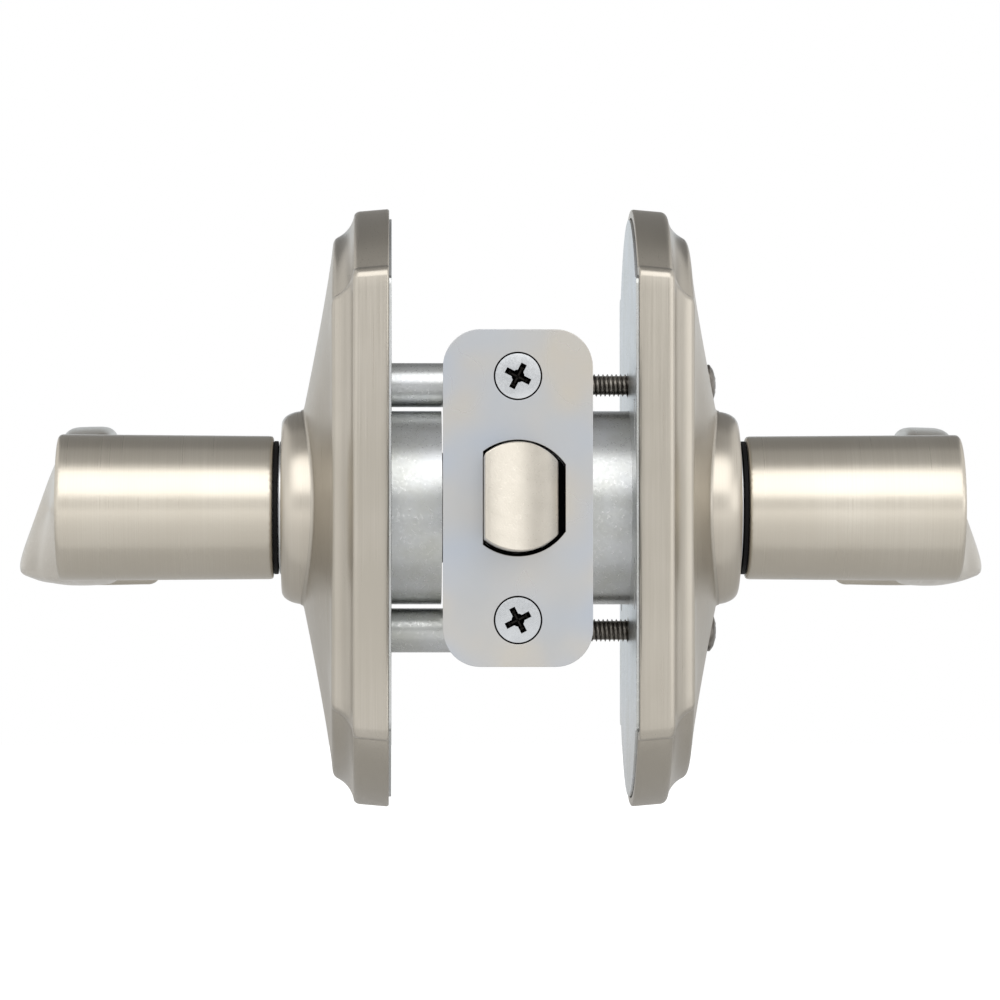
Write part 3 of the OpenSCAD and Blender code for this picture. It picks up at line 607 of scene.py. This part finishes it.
def rose_outline(inset):
    """Side, corner, notch and arch, all inset by so many millimetres, as points (y, z)."""
    a, shelf, big = ROSE_W - inset, ROSE_H - NOTCH_H - inset, ARCH - inset
    r, foot = max(0.3, CORNER - 0.2 * inset), shelf + INNER - ARCH_MID
    reach = math.sqrt((big + INNER) ** 2 - foot ** 2)
    turn = math.degrees(math.atan2(foot, reach))
    quarter = [(a, (shelf - r) * i / SIDE_STEPS) for i in range(SIDE_STEPS)]
    quarter += arc((a - r, shelf - r), r, 0, 90, CORNER_STEPS)
    quarter += arc((reach, shelf + INNER), INNER, 270, 180 + turn, CORNER_STEPS)
    quarter += arc((0.0, ARCH_MID), big, turn, 90, ARCH_STEPS)[1:-1]
    half = quarter + [(0.0, ROSE_H - inset)] + [(-y, z) for y, z in reversed(quarter[1:])]
    return np.array(half + [(-y, -z) for y, z in half])


# %% Profile of the rose
BAND, COVE_RISE, COVE_IN = 6.8, 3.8, 6.6
EDGE = BAND + COVE_RISE
LIP, DRAFT, RIM_ROUND = 1.35, 0.4, 0.4
HOLLOW_AIM, WAIST, CROWN_AIM = (BAND + 0.6, 3.9), (BAND + 2.9, 5.1), (EDGE - 0.1, 5.5)


def bend(start, aim, end, steps):
    """A curve from start to end that leaves towards aim and arrives from it."""
    start, aim, end = np.array(start), np.array(aim), np.array(end)
    return [(1 - t) ** 2 * start + 2 * t * (1 - t) * aim + t ** 2 * end
            for t in np.linspace(0, 1, steps + 1)[1:]]


def rose_profile():
    """(height, inset) from rim to face: drafted band, rounded lip, and a cove like a flat S."""
    rim = [(RIM, 0.3), (RIM + 0.12, 0.1), (RIM + RIM_ROUND, 0.0)]
    shares, heights = np.linspace(0, 1, 7), np.linspace(RIM + RIM_ROUND, BAND - LIP, 7)
    band = [(h, DRAFT * t) for t, h in zip(shares[1:], heights[1:])]
    lip = [(BAND - LIP * (1 - math.sin(t)), LIP + (DRAFT - LIP) * math.cos(t))
           for t in np.linspace(0.1, math.pi / 2, 10)]
    hollow = bend((BAND, LIP), HOLLOW_AIM, WAIST, 14)
    return rim + band + lip + hollow + bend(WAIST, CROWN_AIM, (EDGE, COVE_IN), 8)


# %% Face of the rose
SIDE_RISE, END_RISE, SIDE_HOLLOW, LESS_AT_ENDS, WALL = 3.3, 5.3, 1.35, 0.2, 1.5
MOUTH, ROOT_FILLET, EVEN_FROM = 17.6, 0.5, 0.25
# steps of half a degree: in the whole turn, and how wide and how far the evening goes
HALF_DEGREES, EVENED, WINDOW = 720, 14, 50


def smooth_reach(outline):
    """How far the outline reaches from the middle, with its notches and corners evened out."""
    turns = np.arctan2(outline[:, 1], outline[:, 0])
    order = np.argsort(turns)
    even = np.linspace(-math.pi, math.pi, HALF_DEGREES, endpoint=False)
    reach = np.interp(even, turns[order], np.linalg.norm(outline, axis=1)[order],
                      period=2 * math.pi)
    weights = np.exp(-0.5 * (np.arange(-WINDOW, WINDOW + 1) / EVENED) ** 2)
    reach = np.convolve(np.pad(reach, WINDOW, "wrap"), weights / weights.sum(), "valid")
    return np.interp(turns, even, reach, period=2 * math.pi)


def face_ring(inset, drop, t):
    """One ring of the face, a share t of the way from the cove to the collar."""
    outline = rose_outline(inset)
    away = outline / np.linalg.norm(outline, axis=1)[:, None]
    up = away[:, 1] ** 2
    flat = outline * (1 - t) + away * MOUTH * t
    smooth = smooth_reach(outline)
    share = np.clip((smooth - np.linalg.norm(flat, axis=1)) / (smooth - MOUTH), 0, 1)
    share = t + (share - t) * min(1, t / EVEN_FROM)
    curve = SIDE_HOLLOW - LESS_AT_ENDS * up
    rise = (SIDE_RISE + (END_RISE - SIDE_RISE) * up) * share ** curve
    if drop == 0:
        near = np.clip(1 - (np.linalg.norm(flat, axis=1) - MOUTH) / ROOT_FILLET, 0, 1)
        rise += ROOT_FILLET * (1 - np.sqrt(1 - near ** 2))
    return np.column_stack([EDGE - drop + rise, flat])


def flat_ring(height, inset):
    """One ring of the band, the cove or the lining."""
    outline = rose_outline(inset)
    return np.column_stack([np.full(len(outline), height), outline])


# %% Loft the roses
FACE_RINGS, CROWDED, ROSE_ANGLE = 37, 1.8, 50


def rose(side, name):
    """A rose as one closed skin: out over the face, and back along the lining."""
    lining = [(EDGE - WALL, COVE_IN + WALL), (BAND + 1.1, WAIST[1] + WALL), (BAND - WALL, 3 + WALL),
              (BAND - 2 * WALL, WALL), (RIM, WALL)]
    shares = 1 - np.linspace(1, 0, FACE_RINGS) ** CROWDED
    rings = [flat_ring(h, inset) for h, inset in rose_profile()]
    rings += [face_ring(COVE_IN, 0, t) for t in shares[1:]]
    rings += [face_ring(COVE_IN + WALL, WALL, t) for t in shares[:0:-1]]
    rings += [flat_ring(h, inset) for h, inset in lining]
    return loft(name, [on_side(side, ring) for ring in rings], looped=True, angle=ROSE_ANGLE)


outside_rose = stands_for(rose(OUTSIDE, "outside_rose_pressed"), "outside_rose", nickel_upright)

# %% Holes for the through bolts
bolt_low, bolt_high = corners("through_bolts")
HEAD_R, HEAD_H, HEAD_PLAY = bolt_high[1], 1.5, 0.2
BOLT_Z = bolt_high[2] - HEAD_R
HEAD_TOP = bolt_high[0] - FACE
HOLE_FOOT, HOLE_R, OUT_OF_ROSE = 4, 2.4, 20
inside_rose = rose(INSIDE, "inside_rose_pressed")
combine(inside_rose, [
    rod("cutter", (FACE + foot, 0, s * BOLT_Z), (FACE + OUT_OF_ROSE, 0, s * BOLT_Z), r, count=count)
    for foot, r, count in ((HEAD_TOP - HEAD_H, HEAD_R + HEAD_PLAY, 64), (HOLE_FOOT, HOLE_R, 48))
    for s in (-1, 1)])
inside_rose.data.shade_smooth()
inside_rose.data.set_sharp_from_angle(angle=math.radians(ROSE_ANGLE))
stands_for(inside_rose, "inside_rose", nickel_upright)
print("rose faces:", len(outside_rose.data.polygons), "and", len(inside_rose.data.polygons))

# %% [markdown]
# ## Collars and washers
#
# The collar is turned from bar: a straight skirt that comes up through the rose, a long soft
# rounding, and a flat end with a bore for the bearing sleeve. Only a curve with many points takes a
# highlight well, so the rounding follows a part of an ellipse.

# %% Turn the collars
COLLAR_R, SLEEVE_R = 17.5, 12.0
BORE_PLAY, FLANGE_H, ROUNDING_H, ROUNDING_R = 0.05, 1.2, 4.2, 2.3
collar_foot, flange_r = collar_low[0] - FACE, collar_high[1]
flange = [(collar_foot, SLEEVE_R + BORE_PLAY), (collar_foot, flange_r),
          (collar_foot + FLANGE_H, flange_r), (collar_foot + FLANGE_H, COLLAR_R)]
rounding = [(COLLAR_TOP - ROUNDING_H * (1 - math.sin(t)),
             COLLAR_R - ROUNDING_R * (1 - math.cos(t))) for t in np.linspace(0, math.pi / 2, 22)]
mouth = [(COLLAR_TOP, SLEEVE_R + 0.8), (COLLAR_TOP - 0.1, SLEEVE_R + 0.5),
         (COLLAR_TOP - 0.5, SLEEVE_R + BORE_PLAY)]
collar = flange + rounding + mouth
for side, word in ((OUTSIDE, "outside"), (INSIDE, "inside")):
    stands_for(turned(word + "_collar_turned", side, collar, 192), word + "_collar", nickel_round)
    softened(word + "_washer", 0.12, nylon)
    softened(word + "_sleeve", 0.15, zinc_plate)
print(f"collar: {len(collar)} points in its profile")

# %% [markdown]
# ## The levers
#
# A lever of this kind is cast in one piece. A round neck comes off the rose, and a flat blade
# leaves its outer end, bows away from the door, and curls back at the tip. Here the blade is lofted
# through oval sections along a smooth curve and the neck is turned. The two are joined, and then
# remeshed in small even cells, so that the seam between them can be relaxed into the fillet that a
# casting has. Away from the seam the mesh is pressed back on to the exact surfaces.

# %% The blade's sections
NECK_R, NECK_R_END, NECK_LEN = 12.95, 13.25, 38.9
NECK_END = NECK_FOOT + NECK_LEN
# out from the neck's end, share of the length, up, half height, half thickness, lean in degrees
STATIONS = [(-5.8, 0, 0, 12.0, 5.6, -3), (-5.2, 0.13, 0.7, 14.2, 5.5, -3),
            (-4.2, 0.27, 1, 14.6, 5.4, 1), (0.8, 0.45, 0.2, 13.6, 4.4, 11),
            (5.5, 0.62, -0.6, 12.0, 3.5, 20), (4.6, 0.78, -2.2, 10.6, 3.0, 17),
            (-2, 0.9, -4.1, 8.8, 2.6, 8), (-11.5, 0.955, -5.7, 7.0, 2.2, 0)]
FULLNESS, TIP_AT, TIP_ROUND = 0.4, 0.985, 4.0
lever_len = lever_high[1] / TIP_AT
stations = np.array([(NECK_END + s[0], s[1] * lever_len, *s[2:]) for s in STATIONS], float)
print(f"blade of {len(stations)} sections, {lever_high[1]:.1f} mm out from the spindle")


def arm_at(u):
    """The blade's station at place u, on a smooth curve through the given ones."""
    i = min(int(u), len(stations) - 2)
    t = u - i
    q, r = stations[i], stations[i + 1]
    p = stations[i - 1] if i > 0 else 2 * q - r
    s = stations[i + 2] if i < len(stations) - 2 else 2 * r - q
    return 0.5 * (2 * q + (r - p) * t + (2 * p - 5 * q + 4 * r - s) * t ** 2
                  + (3 * q - p - 3 * r + s) * t ** 3)


def blade_ring(u, scale=1.0, push=0.0, count=64):
    """One oval section, leaning by the station's angle; scale and push round off the tip."""
    last = len(stations) - 1
    here = arm_at(u)
    way = arm_at(min(u + 0.02, last))[:3] - arm_at(max(u - 0.02, 0))[:3]
    way /= np.linalg.norm(way)
    out = np.cross(way, [0, 0, 1])
    out /= np.linalg.norm(out)
    up = np.cross(out, way)
    lean = math.radians(here[5])
    thick = math.cos(lean) * out + math.sin(lean) * up
    tall = math.cos(lean) * up - math.sin(lean) * out
    t = np.linspace(0, 2 * math.pi, count, endpoint=False)
    c, d = np.cos(t), np.sin(t)
    oval = (here[4] * np.sign(c) * abs(c) ** FULLNESS)[:, None] * thick \
        + (here[3] * np.sign(d) * abs(d) ** FULLNESS)[:, None] * tall
    return here[:3] + push * way + scale * oval


# %% Join neck and blade
BORE_R, BORE_DEPTH, PER_STATION, NEAR_AXIS = 10.05, 36.6, 12, 0.01


def lever(name):
    """The inside lever: a turned neck joined to a lofted blade, with the tube's bore."""
    last = len(stations) - 1
    rings = [blade_ring(u) for u in np.linspace(0, last, last * PER_STATION + 1)]
    rings += [blade_ring(last, math.cos(a), TIP_ROUND * math.sin(a))
              for a in np.radians(np.linspace(8, 86, 12))]
    blade = loft("blade", [on_side(INSIDE, ring) for ring in rings], angle=60)
    bore = NECK_FOOT + BORE_DEPTH
    neck = turned(name, INSIDE, filleted([
        (NECK_FOOT, BORE_R, 0), (NECK_FOOT, NECK_R, 0.5), (NECK_END, NECK_R_END, 0.9),
        (NECK_END, NEAR_AXIS, 0), (bore, NEAR_AXIS, 0), (bore, BORE_R, 0)], 5))
    combine(neck, [blade], "UNION")
    drill = rod("bore", (FACE + NECK_FOOT - 1, 0, 0), (FACE + bore, 0, 0), BORE_R, count=96)
    return combine(neck, [drill])


# %% Relax the seam
CELL, QUICK_CELL = 0.45, 1.0
SEAM_WIDTH, SEAM_LENGTH, SEAM_SIDE, PASSES = 1.8, 15, 3.5, 40


def relaxed(piece, cell):
    """Remeshed in even cells, with its seam smoothed and the rest pressed on the exact surface."""
    exact = in_scene("exact", piece.data.copy())
    mesh = piece.modifiers.new("cells", "REMESH")
    mesh.mode, mesh.voxel_size = "VOXEL", cell * MM
    evaluated(piece)
    co = np.zeros(len(piece.data.vertices) * 3)
    piece.data.vertices.foreach_get("co", co)
    co = co.reshape(-1, 3) / MM
    radius = np.hypot(co[:, 1], co[:, 2])
    on_neck = abs(radius - NECK_R_END) < SEAM_WIDTH
    near_end = (co[:, 0] - FACE > NECK_END - SEAM_LENGTH) & (co[:, 1] > SEAM_SIDE)
    seam = piece.vertex_groups.new(name="seam")
    seam.add(np.nonzero(on_neck & near_end)[0].tolist(), 1.0, "REPLACE")
    press = piece.modifiers.new("press", "SHRINKWRAP")
    press.target, press.wrap_method = exact, "NEAREST_SURFACEPOINT"
    ease = piece.modifiers.new("ease", "SMOOTH")
    ease.factor, ease.iterations, ease.vertex_group = 0.5, PASSES, "seam"
    evaluated(piece)
    piece.vertex_groups.clear()
    bpy.data.objects.remove(exact)
    finish_mesh(piece.data, 60)
    return piece


def mirrored(piece, name):
    """The same piece for the other side of the door."""
    mesh = piece.data.copy()
    mesh.transform(Matrix.Scale(-1, 4, (1, 0, 0)))
    mesh.flip_normals()
    return in_scene(name, mesh)


inside_lever = relaxed(lever("inside_lever_cast"), CELL)
outside_lever = mirrored(inside_lever, "outside_lever_cast")
stands_for(inside_lever, "inside_lever", nickel_lever)
stands_for(outside_lever, "outside_lever", nickel_lever)
print("lever faces:", len(inside_lever.data.polygons))

# %% [markdown]
# ## Screws and bolts
#
# A cross recess is what the eye looks for on a screw head: four tapered wings that meet in a cone.
# We turn the head, cut the recess with two tapered bars and a cone, and make the thread as a real
# helix, a turned surface whose radius rises and falls along a slanted line. A head's profile is
# written as the depth below its top, the radius, and the rounding of that corner.

# %% Screw tools
AXIS, ABOVE = 0.02, -0.4


def screw_thread(root, crest, pitch, start, end, point=0, count=32, per_turn=8):
    """Rings of a threaded shank along +X; its last stretch, as long as point, tapers."""
    rings = []
    for x in np.arange(start, end + 1e-6, pitch / per_turn):
        scale = min(1.0, max(0.06, (end - x) / point)) if point else 1.0
        ring = []
        for k in range(count):
            t = 2 * math.pi * k / count
            phase = (x / pitch - k / count) % 1.0
            ridge = max(0.0, 1 - abs(phase - 0.5) * 4)
            r = (root + (crest - root) * ridge) * scale
            ring.append((x, r * math.cos(t), r * math.sin(t)))
        rings.append(ring)
    return rings


def turned_along(profile, count=64):
    """Rings of a plain turned stretch along +X from (x, radius) pairs."""
    turns = np.linspace(0, 2 * math.pi, count, endpoint=False)
    return [[(x, r * math.cos(t), r * math.sin(t)) for t in turns] for x, r in profile]


def cross_recess(depth, reach, turn):
    """Cutters for a cross recess in a head whose top is at x = 0: two tapered bars and a cone."""
    bar = ((ABOVE, reach * 1.04, 0.56), (depth * 0.8, reach * 0.74, 0.36),
           (depth, reach * 0.5, 0.15))
    cutters = []
    for angle in (turn, turn + 90):
        c, s = math.cos(math.radians(angle)), math.sin(math.radians(angle))
        cutters.append(loft("wing", [
            [(x, u * c - v * s, u * s + v * c)
             for u, v in ((long, wide), (-long, wide), (-long, -wide), (long, -wide))]
            for x, long, wide in bar]))
    return cutters + [rod("cone", (ABOVE, 0, 0), (depth * 1.15, 0, 0), reach * 0.55, 0.08, 24)]


def moved(piece, matrix):
    """Moves the mesh itself, so that the object stays at the origin."""
    piece.data.transform(matrix)
    return piece


def joined(name, pieces):
    """Several meshes as one object, each still a closed shell of its own."""
    work = bmesh.new()
    for piece in pieces:
        work.from_mesh(piece.data)
        bpy.data.objects.remove(piece)
    mesh = bpy.data.meshes.new(name)
    work.to_mesh(mesh)
    work.free()
    finish_mesh(mesh)
    return in_scene(name, mesh)


def along(origin, way):
    """The matrix that takes +X to way and the origin to a place in millimetres."""
    turn = Vector((1, 0, 0)).rotation_difference(Vector(way)).to_matrix().to_4x4()
    return Matrix.Translation(Vector(origin) * MM) @ turn


def screw_pair(name, head, steps, recess, turns, thread, top, way):
    """Two screws as one piece: one head's top is at a place, the other's mirrors it in Z."""
    parts = []
    for sign, turn in zip((-1, 1), turns):
        cap = loft("cap", turned_along(filleted(head, steps)), angle=30)
        combine(cap, cross_recess(*recess, turn))
        shank = loft("shank", screw_thread(**thread), angle=40)
        place = along((top[0], top[1], sign * top[2]), way)
        parts += [moved(cap, place), moved(shank, place)]
    return joined(name, parts)


# %% Latch plate screws
WOOD_HEAD = [(0, AXIS, 0), (0.0, SCREW_HEAD_R, 0.06), (0.2, SCREW_HEAD_R, 0.1), (2.2, 2.3, 0.3),
             (4.4, 2.25, 0.2), (4.4, AXIS, 0)]
WOOD_THREAD = dict(root=1.35, crest=1.9, pitch=1.4, start=3.6, end=SCREW_LEN, point=4.0)
screws = screw_pair("latch_plate_screws", WOOD_HEAD, 4, (1.9, 2.35), (63, 117), WOOD_THREAD,
                    (0, PLATE_Y, SCREW_Z), (0, 1, 0))
stands_for(screws, "faceplate_screws", screw_steel)
print(f"latch plate screws {SCREW_LEN:.1f} mm long")

# %% Through bolts
BOLT_NECK_R = 2.05
BOLT_HEAD = [(0, AXIS, 0), (0.02, 1.4, 0.6), (0.45, 2.9, 1.2), (1.1, HEAD_R, 0.25),
             (HEAD_H, HEAD_R, 0.1), (HEAD_H, BOLT_NECK_R, 0), (3.0, BOLT_NECK_R, 0), (3.0, AXIS, 0)]
bolt_len = FACE + HEAD_TOP - bolt_low[0]
BOLT_THREAD = dict(root=1.7, crest=2.1, pitch=0.8, start=2.6, end=bolt_len)
bolts = screw_pair("through_bolts_threaded", BOLT_HEAD, 5, (1.2, 1.9), (45, 45), BOLT_THREAD,
                   (FACE + HEAD_TOP, 0, BOLT_Z), (-1, 0, 0))
stands_for(bolts, "through_bolts", dark_screw)
print(f"through bolts {bolt_len:.1f} mm long")

# %% [markdown]
# ## Springs
#
# A wound spring is a curve with thickness. The bolt spring is a compression spring, so its last
# turns lie against each other to make a flat seat. Its rear end stays on the seat in the latch case
# and its front end goes in with the bolt, so the real spring is squashed as the bolt slides; here
# it is wound once, to the length of its CAD node. The return springs wind round the drive tubes
# inside the drums.

# %% Wind the springs
def wire(name, path, radius):
    """A round wire through points in millimetres, as a mesh."""
    curve = bpy.data.curves.new(name, "CURVE")
    curve.dimensions, curve.use_fill_caps = "3D", True
    curve.bevel_depth, curve.bevel_resolution = radius * MM, 4
    line = curve.splines.new("POLY")
    line.points.add(len(path) - 1)
    for point, p in zip(line.points, path):
        point.co = (*(float(c) * MM for c in p), 1)
    shape = in_scene(name, curve)
    graph = bpy.context.evaluated_depsgraph_get()
    mesh = bpy.data.meshes.new_from_object(shape.evaluated_get(graph))
    bpy.data.objects.remove(shape)
    mesh.name = name
    finish_mesh(mesh, 40)
    return in_scene(name, mesh)


def helix(turns, dead, length, wire_d, radius, per_turn=28):
    """(along, across, up) of a spring whose first and last dead turns touch each other."""
    free = length - 2 * dead * wire_d
    points = []
    for i in range(int(turns * per_turn) + 1):
        n = i / per_turn
        if n < dead:
            x = n * wire_d
        elif n > turns - dead:
            x = length - (turns - n) * wire_d
        else:
            x = dead * wire_d + free * (n - dead) / (turns - 2 * dead)
        points.append((x, radius * math.cos(2 * math.pi * n), radius * math.sin(2 * math.pi * n)))
    return points


# %% The bolt's spring
spring_low, spring_high = corners("bolt_spring")
WIRE, BOLT_THROW = 0.7, 12.7
turns = helix(turns=13, dead=1.5, length=spring_high[1] - spring_low[1] - WIRE, wire_d=WIRE,
              radius=spring_high[2] - WIRE / 2)
coil = [(y, spring_low[1] + WIRE / 2 + x, z) for x, y, z in turns]
bolt_spring = stands_for(wire("bolt_spring_wound", coil, WIRE / 2), "bolt_spring", spring_wire)
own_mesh(bolt_spring)
print(f"bolt spring {spring_high[1] - spring_low[1]:.1f} mm, {BOLT_THROW} less with the bolt in")

# %% The return springs
THICK = 1.8
for word in ("outside", "inside"):
    low, high = corners(word + "_return_spring")
    turns = helix(turns=5.5, dead=0.5, length=high[0] - low[0] - THICK, wire_d=THICK,
                  radius=high[2] - THICK / 2, per_turn=40)
    path = [(low[0] + THICK / 2 + x, y, z) for x, y, z in turns]
    stands_for(wire(word + "_return_spring_wound", path, THICK / 2), word + "_return_spring",
               spring_wire)
print(f"return springs of {THICK} mm wire")

# %% [markdown]
# ## The remaining steel and zinc parts
#
# These keep their CAD shape. Each call names the part, how far its edges are broken, and its metal.

# %% Soften the rest
softened("latch_faceplate", 0.10, stainless, 3)
softened("latch_bolt", 0.3, bolt_nickel, 3)
softened("bolt_tail", 0.12, phosphated)
# The latch case parts carry painted shade inside the barrel's bore.
for name in ("latch_backplate", "latch_barrel", "latch_cheek_left", "latch_cheek_right",
             "spring_seat", "case_rivets"):
    softened(name, 0.12, bore_shaded_zinc)
for name in ("screw_spacers", "threaded_posts", "spindle", "lever_set_screws"):
    softened(name, 0.12, zinc_plate)
for part in ("mounting_plate", "spring_drum", "drum_cover", "snap_ring"):
    for word in ("outside", "inside"):
        softened(f"{word}_{part}", 0.12, zinc_plate)
for name in ("outside_drive_tube", "inside_drive_tube", "retractor_hub"):
    softened(name, 0.2, cast_zinc)
print("edges broken on the rest")

# %% [markdown]
# ## The bolt's guide ring
#
# The bolt slides in the latch barrel on a ring of black nylon near its rear end, so no light comes
# past it. The ring is a disc with a hole cut by the bolt itself, a hundredth larger. Such a ring is
# a real part, and its black is also painted shade: it darkens the gap beside the bolt, where a door
# would leave only shade.

# %% Cut the guide ring
RING_FRONT, RING_REAR, RING_R, POCKET_R = -48.6, -46.4, 10.1, 4.0
RING_PLAY = 1.01
guide_ring = rod("bolt_guide_ring", (0, RING_FRONT, 0), (0, RING_REAR, 0), RING_R, count=96)
bolt_hole = in_scene("bolt_hole", nodes["latch_bolt"].data.copy())
bolt_hole.scale = (RING_PLAY, 1, RING_PLAY)
pocket = rod("pocket", (0, RING_FRONT - 1, 0), (0, RING_REAR + 1, 0), POCKET_R)
combine(guide_ring, [bolt_hole, pocket])
finish_mesh(guide_ring.data, SHARP_FROM)
# Painted shade: the ring is black, so the gap beside the bolt reads dark.
guide_ring.data.materials.clear()
guide_ring.data.materials.append(nylon)
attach(guide_ring, nodes["latch_bolt"]["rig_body"])
print("guide ring:", len(guide_ring.data.polygons), "faces")

# %% [markdown]
# ## The studio
#
# The set hangs in the air, as it does in its door, over a pale floor that its turned levers clear.
# The camera looks straight at the latch from a little below the middle, through a long lens. Satin
# metal is mostly a picture of what is round it. The room is white. One large soft box in front,
# above the camera, gives the necks their broad bright band. The rest are cards that only
# reflections see, so they take no light from the set. Grey ones overhead and behind give the necks
# their dark upper edge. A pale one below and a cool back wall light the undersides and the coves,
# one at each side brightens the blades, and further back a pale rim and a darker flank on each side
# draw the roses' outlines.

# %% Sheets and the floor
NEAR, FAR, NEAR_GLOW, IN_METAL = 250, 700, 0.62, 0.45
FLOOR_HALF, LEVER_CLEARS = 4000, 14


def lying(half, near, far):
    """The corners of a sheet that runs across the set, between its near and far edge (y, z)."""
    return [(-half, *near), (half, *near), (half, *far), (-half, *far)]


def upright(start, end, low, high):
    """The corners of a sheet that stands from start to end (x, y), between two heights."""
    return [(*start, low), (*end, low), (*end, high), (*start, high)]


def floor_material():
    """Pale paper that takes the set's shadow and whitens with distance; clear from below."""
    material, tree = new_material("white_paper")
    path = add(tree, "ShaderNodeLightPath")
    gloss = add(tree, "ShaderNodeMath", {0: path.outputs["Is Glossy Ray"], 1: IN_METAL},
                operation="MULTIPLY")
    seen = add(tree, "ShaderNodeMath", {0: path.outputs["Is Camera Ray"], 1: gloss},
               operation="MAXIMUM")
    paper = add(tree, "ShaderNodeBsdfDiffuse", {"Color": linear("#dcdcdc")})
    place = add(tree, "ShaderNodeTexCoord").outputs["Object"]
    away = add(tree, "ShaderNodeVectorMath", {0: place}, operation="LENGTH").outputs["Value"]
    level = add(tree, "ShaderNodeMapRange", {
        "Value": away, "From Min": NEAR * MM, "From Max": FAR * MM, "To Min": NEAR_GLOW,
        "To Max": 1.0}, interpolation_type="SMOOTHSTEP")
    strength = add(tree, "ShaderNodeMath", {0: seen, 1: level}, operation="MULTIPLY")
    glow = add(tree, "ShaderNodeEmission", {"Color": linear("#ffffff"), "Strength": strength})
    both = add(tree, "ShaderNodeAddShader", {0: paper, 1: glow})
    under = add(tree, "ShaderNodeNewGeometry").outputs["Backfacing"]
    clear = add(tree, "ShaderNodeBsdfTransparent")
    sheet = add(tree, "ShaderNodeMixShader", {0: under, 1: both, 2: clear})
    add(tree, "ShaderNodeOutputMaterial", {0: sheet})
    return material


floor_z = -lever_high[1] - LEVER_CLEARS
floor = make_object("floor", lying(FLOOR_HALF, (-FLOOR_HALF, floor_z), (FLOOR_HALF, floor_z)),
                    [(0, 1, 2, 3)])
floor.data.materials.append(floor_material())
print(f"floor {-floor_z:.0f} mm below the spindle")

# %% The white room
ROOM_LIGHT = 0.35
scene = bpy.context.scene
scene.world = bpy.data.worlds.new("white_room")
scene.world.use_nodes = True
sky = scene.world.node_tree
sky.nodes.clear()
path = add(sky, "ShaderNodeLightPath").outputs
seen = add(sky, "ShaderNodeMath", {0: path["Is Camera Ray"], 1: path["Is Glossy Ray"]},
           operation="MAXIMUM")
seen = add(sky, "ShaderNodeMath", {0: seen, 1: path["Is Transmission Ray"]},
           operation="MAXIMUM")
dim, white = (add(sky, "ShaderNodeBackground", {"Color": linear("#ffffff"), "Strength": level})
              for level in (ROOM_LIGHT, 1.0))
both = add(sky, "ShaderNodeMixShader", {0: seen, 1: dim, 2: white})
add(sky, "ShaderNodeOutputWorld", {0: both})

# %% The soft box
BOX_W, BOX_H, RADIANCE = 1000, 560, 1.35


def aim_at(thing, place, target):
    """Puts a lamp or camera at a place and turns it to a target, both in millimetres."""
    thing.location = Vector(place) * MM
    thing.rotation_euler = (Vector(target) - Vector(place)).to_track_quat("-Z", "Y").to_euler()


box = bpy.data.lights.new("front_box", "AREA")
box.shape, box.size, box.size_y = "RECTANGLE", BOX_W * MM, BOX_H * MM
box.energy = RADIANCE * math.pi * box.size * box.size_y
aim_at(in_scene("front_box", box), (0, -540, 430), (0, 0, 0))
print(f"soft box of {box.energy:.1f} W")

# %% The cards
SIDE_FOOT = -50
card_z = rose_low[2] + 2


def card(name, points, level, tint="#ffffff", fade=None):
    """A card that only reflections see; fade is (y, y, level) and takes it to another level."""
    material, tree = new_material(name)
    if fade:
        level = add(tree, "ShaderNodeMapRange", {
            "Value": depth_of(tree), "From Min": fade[0] * MM, "From Max": fade[1] * MM,
            "To Min": level, "To Max": fade[2]})
    glow = add(tree, "ShaderNodeEmission", {"Color": linear(tint), "Strength": level})
    add(tree, "ShaderNodeOutputMaterial", {0: glow})
    sheet = make_object(name, points, [(0, 1, 2, 3)])
    sheet.data.materials.append(material)
    sheet.visible_camera = sheet.visible_diffuse = sheet.visible_shadow = False


card("card_overhead", lying(450, (-290, 700), (180, 700)), 0.5)
card("card_behind", lying(400, (180, 700), (900, 300)), 0.3)
card("bounce_card", lying(500, (-1000, card_z), (-28, card_z)), 1.45, fade=(-300, -15, 0.87))
card("back_wall", upright((-480, 1200), (480, 1200), card_z, 600), 1.0, "#f0f8ff")
card("left_card", upright((-650, -900), (-650, -200), SIDE_FOOT, 320), 1.3)
card("right_card", upright((650, -900), (650, -200), SIDE_FOOT, 320), 1.9)
for sign in (-1, 1):
    card("rim_card", upright((sign * 700, 100), (sign * 560, 430), SIDE_FOOT, 260), 1.2)
    card("dark_flank", upright((sign * 560, 430), (sign * 400, 590), SIDE_FOOT, 400), 0.6)

# %% Camera
LENS, FILM, EYE, TARGET = 181.0, 36.0, (-21.25, -910.0, -25.0), (-3.05, -60.3, -0.35)
camera_data = bpy.data.cameras.new("camera")
camera_data.lens, camera_data.sensor_width = LENS, FILM
scene.camera = in_scene("camera", camera_data)
aim_at(scene.camera, EYE, TARGET)
scene.view_settings.view_transform = "Standard"
print(f"camera {math.dist(EYE, TARGET):.0f} mm from the latch plate")

# %% Update the scene
bpy.context.view_layer.update()
